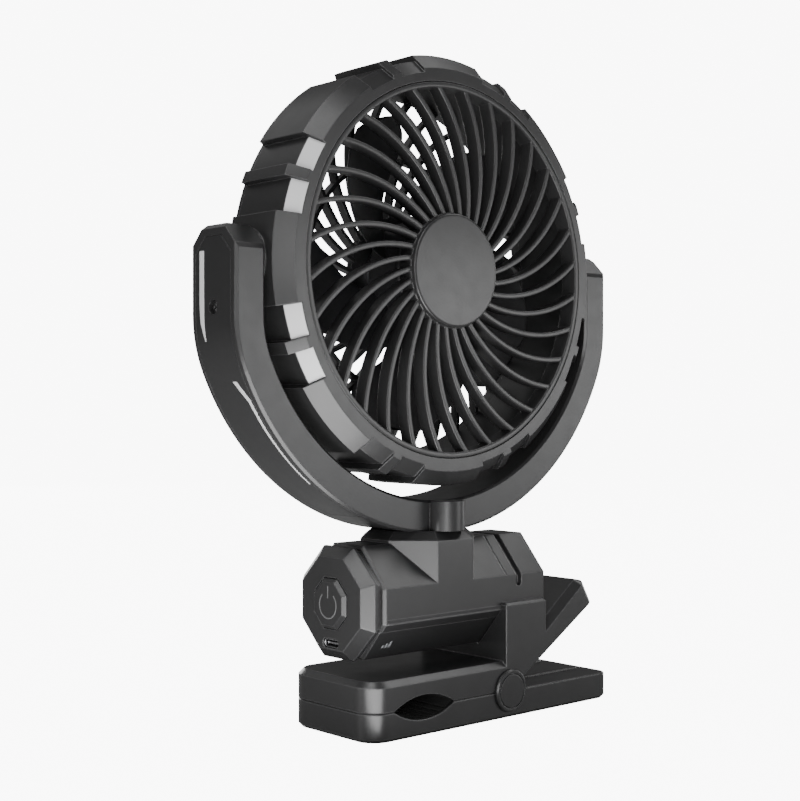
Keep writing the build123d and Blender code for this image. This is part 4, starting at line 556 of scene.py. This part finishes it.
def lever_leg():
    """Wire along a straight leg under the lever and, a hair thicker than the coil, over the start of the helix,
    where it turns with the lever as the clip opens."""
    lap = coil_line(np.linspace(COIL_START, COIL_START + LEG_LAP, LAP_STEPS))
    away = np.linspace(LEG_LENGTH, LEG_START, LEG_STEPS)[:, None]
    return [wire(np.concatenate([lap[0] + away * LEVER_LINE, lap]), WIRE_RADIUS + LAP_FIT)]


EYE_LENGTH = 31.5
EYE_RISE = 4.7
PAD_THICKNESS = 2.1
PAD_STEPS = 400
PAD_PLAIN_END = 3.5
TOOTH_PITCH = 3.0
GROOVE_DEPTH, GROOVE_STEEPNESS, GROOVE_SHIFT = 1.0, 2.2, 0.9


def between(inner, outer, y0, y1):
    """Closed body between two matched curves in x and z, from one y to another."""
    def at(curve, y):
        return np.stack([curve[:, 0], np.full(len(curve), y), curve[:, 1]], axis=-1)

    grid = np.stack([at(inner, y0), at(inner, y1), at(outer, y1), at(outer, y0)], axis=1)
    ends = [sheet(grid[row][[0, 1, 3, 2]].reshape(2, 2, 3)) for row in (0, -1)]
    return joined([sheet(grid, wrap_columns=True)] + ends)


def toothed_pad(side):
    """Lining of half of the eye: an arc of the eye's circle, with grooves that follow a clipped cosine along it,
    and an even back."""
    low, high = corners_of("lower_jaw_pad")
    half = EYE_LENGTH / 2
    radius = (half**2 + EYE_RISE**2) / (2 * EYE_RISE)
    drop = radius - EYE_RISE
    share = np.linspace(-1, 1, PAD_STEPS)
    front = share * math.asin(half / radius)
    back = share * math.acos(drop / (radius + PAD_THICKNESS))
    x = radius * np.sin(front)
    wave = np.clip(GROOVE_STEEPNESS * np.cos(FULL_TURN * x / TOOTH_PITCH) - GROOVE_SHIFT, 0, 1)
    depth = GROOVE_DEPTH * wave * (np.abs(x) < half - PAD_PLAIN_END)
    middle = ((low[0] + high[0]) / 2, HINGE_Z)
    curves = [np.stack([r * np.sin(a), side * (r * np.cos(a) - drop)], axis=-1) + middle
              for r, a in ((radius + depth, front), (radius + PAD_THICKNESS, back))]
    return [between(*curves, low[1], high[1])]


MARK_RADIUS = 5.0
MARK_DROP = 0.5
MARK_GAP_DEGREES = 40
BAR_FOOT, BAR_TOP = 2.6, 7.4
STROKE_HALF, STROKE_SUNK, STROKE_PROUD = 0.32, 0.08, 0.03
STROKE_EASE = 0.03


def power_mark():
    """Flat stroke, a rounded strip, along an open ring with its gap on top and along a bar in the gap."""
    low, high = corners_of("power_button")
    stroke = eased([(-STROKE_HALF, -STROKE_SUNK), (STROKE_HALF, -STROKE_SUNK),
                    (STROKE_HALF, STROKE_PROUD), (-STROKE_HALF, STROKE_PROUD)], STROKE_EASE, 3)
    centre = np.array([low[0], 0, (low[2] + high[2]) / 2 - MARK_DROP])
    angle = np.radians(np.linspace(90 + MARK_GAP_DEGREES, 450 - MARK_GAP_DEGREES, 72))
    across = np.stack([0 * angle, np.cos(angle), np.sin(angle)], axis=-1)
    ring = swept(centre + MARK_RADIUS * across, across, np.broadcast_to(-X_AXIS, across.shape), stroke)
    bar_path = centre + np.linspace(BAR_FOOT, BAR_TOP, 8)[:, None] * Z_AXIS
    bar = swept(bar_path, np.broadcast_to(Y_AXIS, bar_path.shape), np.broadcast_to(-X_AXIS, bar_path.shape), stroke)
    return [ring, bar]


piece("wound_spring", wound_spring(), STEEL, "base", ("clip_spring",))
piece("lever_leg", lever_leg(), STEEL, "clamp")
piece("lower_toothed_pad", toothed_pad(-1), RUBBER, "base", ("lower_jaw_pad",))
piece("upper_toothed_pad", toothed_pad(1), RUBBER, "clamp", ("upper_jaw_pad",))
piece("power_mark", power_mark(), MARK, "button")


# Floor, light and camera, in metres and watts

WHITE = (1, 1, 1, 1)
FLOOR_HALF, FLOOR_Z = 6.0, -0.0002
FLOOR_GREY = (0.40, 0.40, 0.40, 1)
FLOOR_ROUGHNESS = 0.9
FLOOR_GLOW = 9.0
SKY_GLOW = 9.0
AMBIENT = 0.12
CAMERA_PLACE = (-0.38788, -0.42453, 0.1273)
CAMERA_DEGREES = (90, 0, -41.7)
SENSOR_WIDTH, FOCAL_LENGTH, CLIP_START = 36.0, 64.35, 0.01

# Place, target, width and height, power
LIGHTS = {
    "right": ((1.05, -1.20, 0.20), (0, 0, 0.15), (0.8, 0.36), 4.7),
    "front": ((-0.95, -1.05, 0.40), (0, 0, 0.12), (0.40, 0.8), 8.4),
    "upper": ((0.75, -0.2, 1.1), (0, 0, 0.1), (0.6, 0.6), 3.4),
    "top": ((-0.58, -0.14, 1.18), (0, 0, 0.1), (0.7, 0.7), 9.0),
    "rim": ((-0.05, 1.05, 0.95), (0, 0, 0.1), (0.6, 0.5), 0.40),
    "left": ((-1.25, 0.30, 0.12), (0, 0, 0.05), (0.14, 0.2), 3.0),
    "rear": ((0.32, 1.58, 0.40), (0, 0, 0.15), (0.6, 0.6), 6.5),
    "side": ((1.60, 0.10, 0.35), (0, 0, 0.12), (0.7, 0.7), 5.0),
    "bounce": ((-0.165, -0.155, 0.002), (-0.165, -0.155, 1.0), (0.24, 0.24), 1.5),
}


def seen_white(made, links, strength):
    """Strength that is high to the eye and nothing as a light."""
    path = made.new("ShaderNodeLightPath")
    times = made.new("ShaderNodeMath")
    times.operation = "MULTIPLY"
    times.inputs[1].default_value = strength
    links.new(path.outputs["Is Camera Ray"], times.inputs[0])
    return times.outputs["Value"]


def floor():
    """Plain pale floor, one flat square under the fan."""
    side = np.array([-FLOOR_HALF, FLOOR_HALF])
    x, y = np.meshgrid(side, side)
    corners = np.stack([x, y, np.full_like(x, FLOOR_Z)], axis=-1).reshape(-1, 3)
    mesh = bpy.data.meshes.new("floor")
    mesh.from_pydata(corners.tolist(), [], [(0, 1, 3, 2)])
    plane = bpy.data.objects.new("floor", mesh)
    bpy.context.scene.collection.objects.link(plane)
    pale, skin, made, links = shader("pale_floor")
    skin.inputs["Base Color"].default_value = FLOOR_GREY
    skin.inputs["Roughness"].default_value = FLOOR_ROUGHNESS
    skin.inputs["Specular IOR Level"].default_value = 0.0
    skin.inputs["Emission Color"].default_value = WHITE
    links.new(seen_white(made, links, FLOOR_GLOW), skin.inputs["Emission Strength"])
    mesh.materials.append(pale)
    plane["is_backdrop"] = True


def softbox(name, place, target, size, power):
    """Rectangular area light that faces a target and isn't seen itself."""
    lamp = bpy.data.lights.new(name, "AREA")
    lamp.shape = "RECTANGLE"
    lamp.size, lamp.size_y = size
    lamp.energy = power
    holder = bpy.data.objects.new(name, lamp)
    holder.location = place
    aim = Vector(target) - Vector(place)
    holder.rotation_euler = aim.to_track_quat("-Z", "Y").to_euler()
    holder.visible_camera = False
    bpy.context.scene.collection.objects.link(holder)


def world():
    """Even surroundings: white to the eye, dim as a light."""
    sky = bpy.data.worlds.new("studio")
    bpy.context.scene.world = sky
    sky.use_nodes = True
    made, links = sky.node_tree.nodes, sky.node_tree.links
    back = made["Background"]
    glow = made.new("ShaderNodeMath")
    glow.operation = "ADD"
    glow.inputs[1].default_value = AMBIENT
    links.new(seen_white(made, links, SKY_GLOW), glow.inputs[0])
    links.new(glow.outputs["Value"], back.inputs["Strength"])
    back.inputs["Color"].default_value = WHITE


def camera():
    """Level camera at the photograph's angle."""
    lens = bpy.data.cameras.new("view")
    lens.sensor_width = SENSOR_WIDTH
    lens.lens = FOCAL_LENGTH
    lens.clip_start = CLIP_START
    eye = bpy.data.objects.new("view", lens)
    eye.location = CAMERA_PLACE
    eye.rotation_euler = np.radians(CAMERA_DEGREES)
    bpy.context.scene.collection.objects.link(eye)
    bpy.context.scene.camera = eye


floor()
world()
camera()
for name, (place, target, size, power) in LIGHTS.items():
    softbox(name, place, target, size, power)

size = {"cad": [list(map(float, corner)) for corner in cad_box],
        "visual": [list(map(float, corner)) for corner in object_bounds()]}
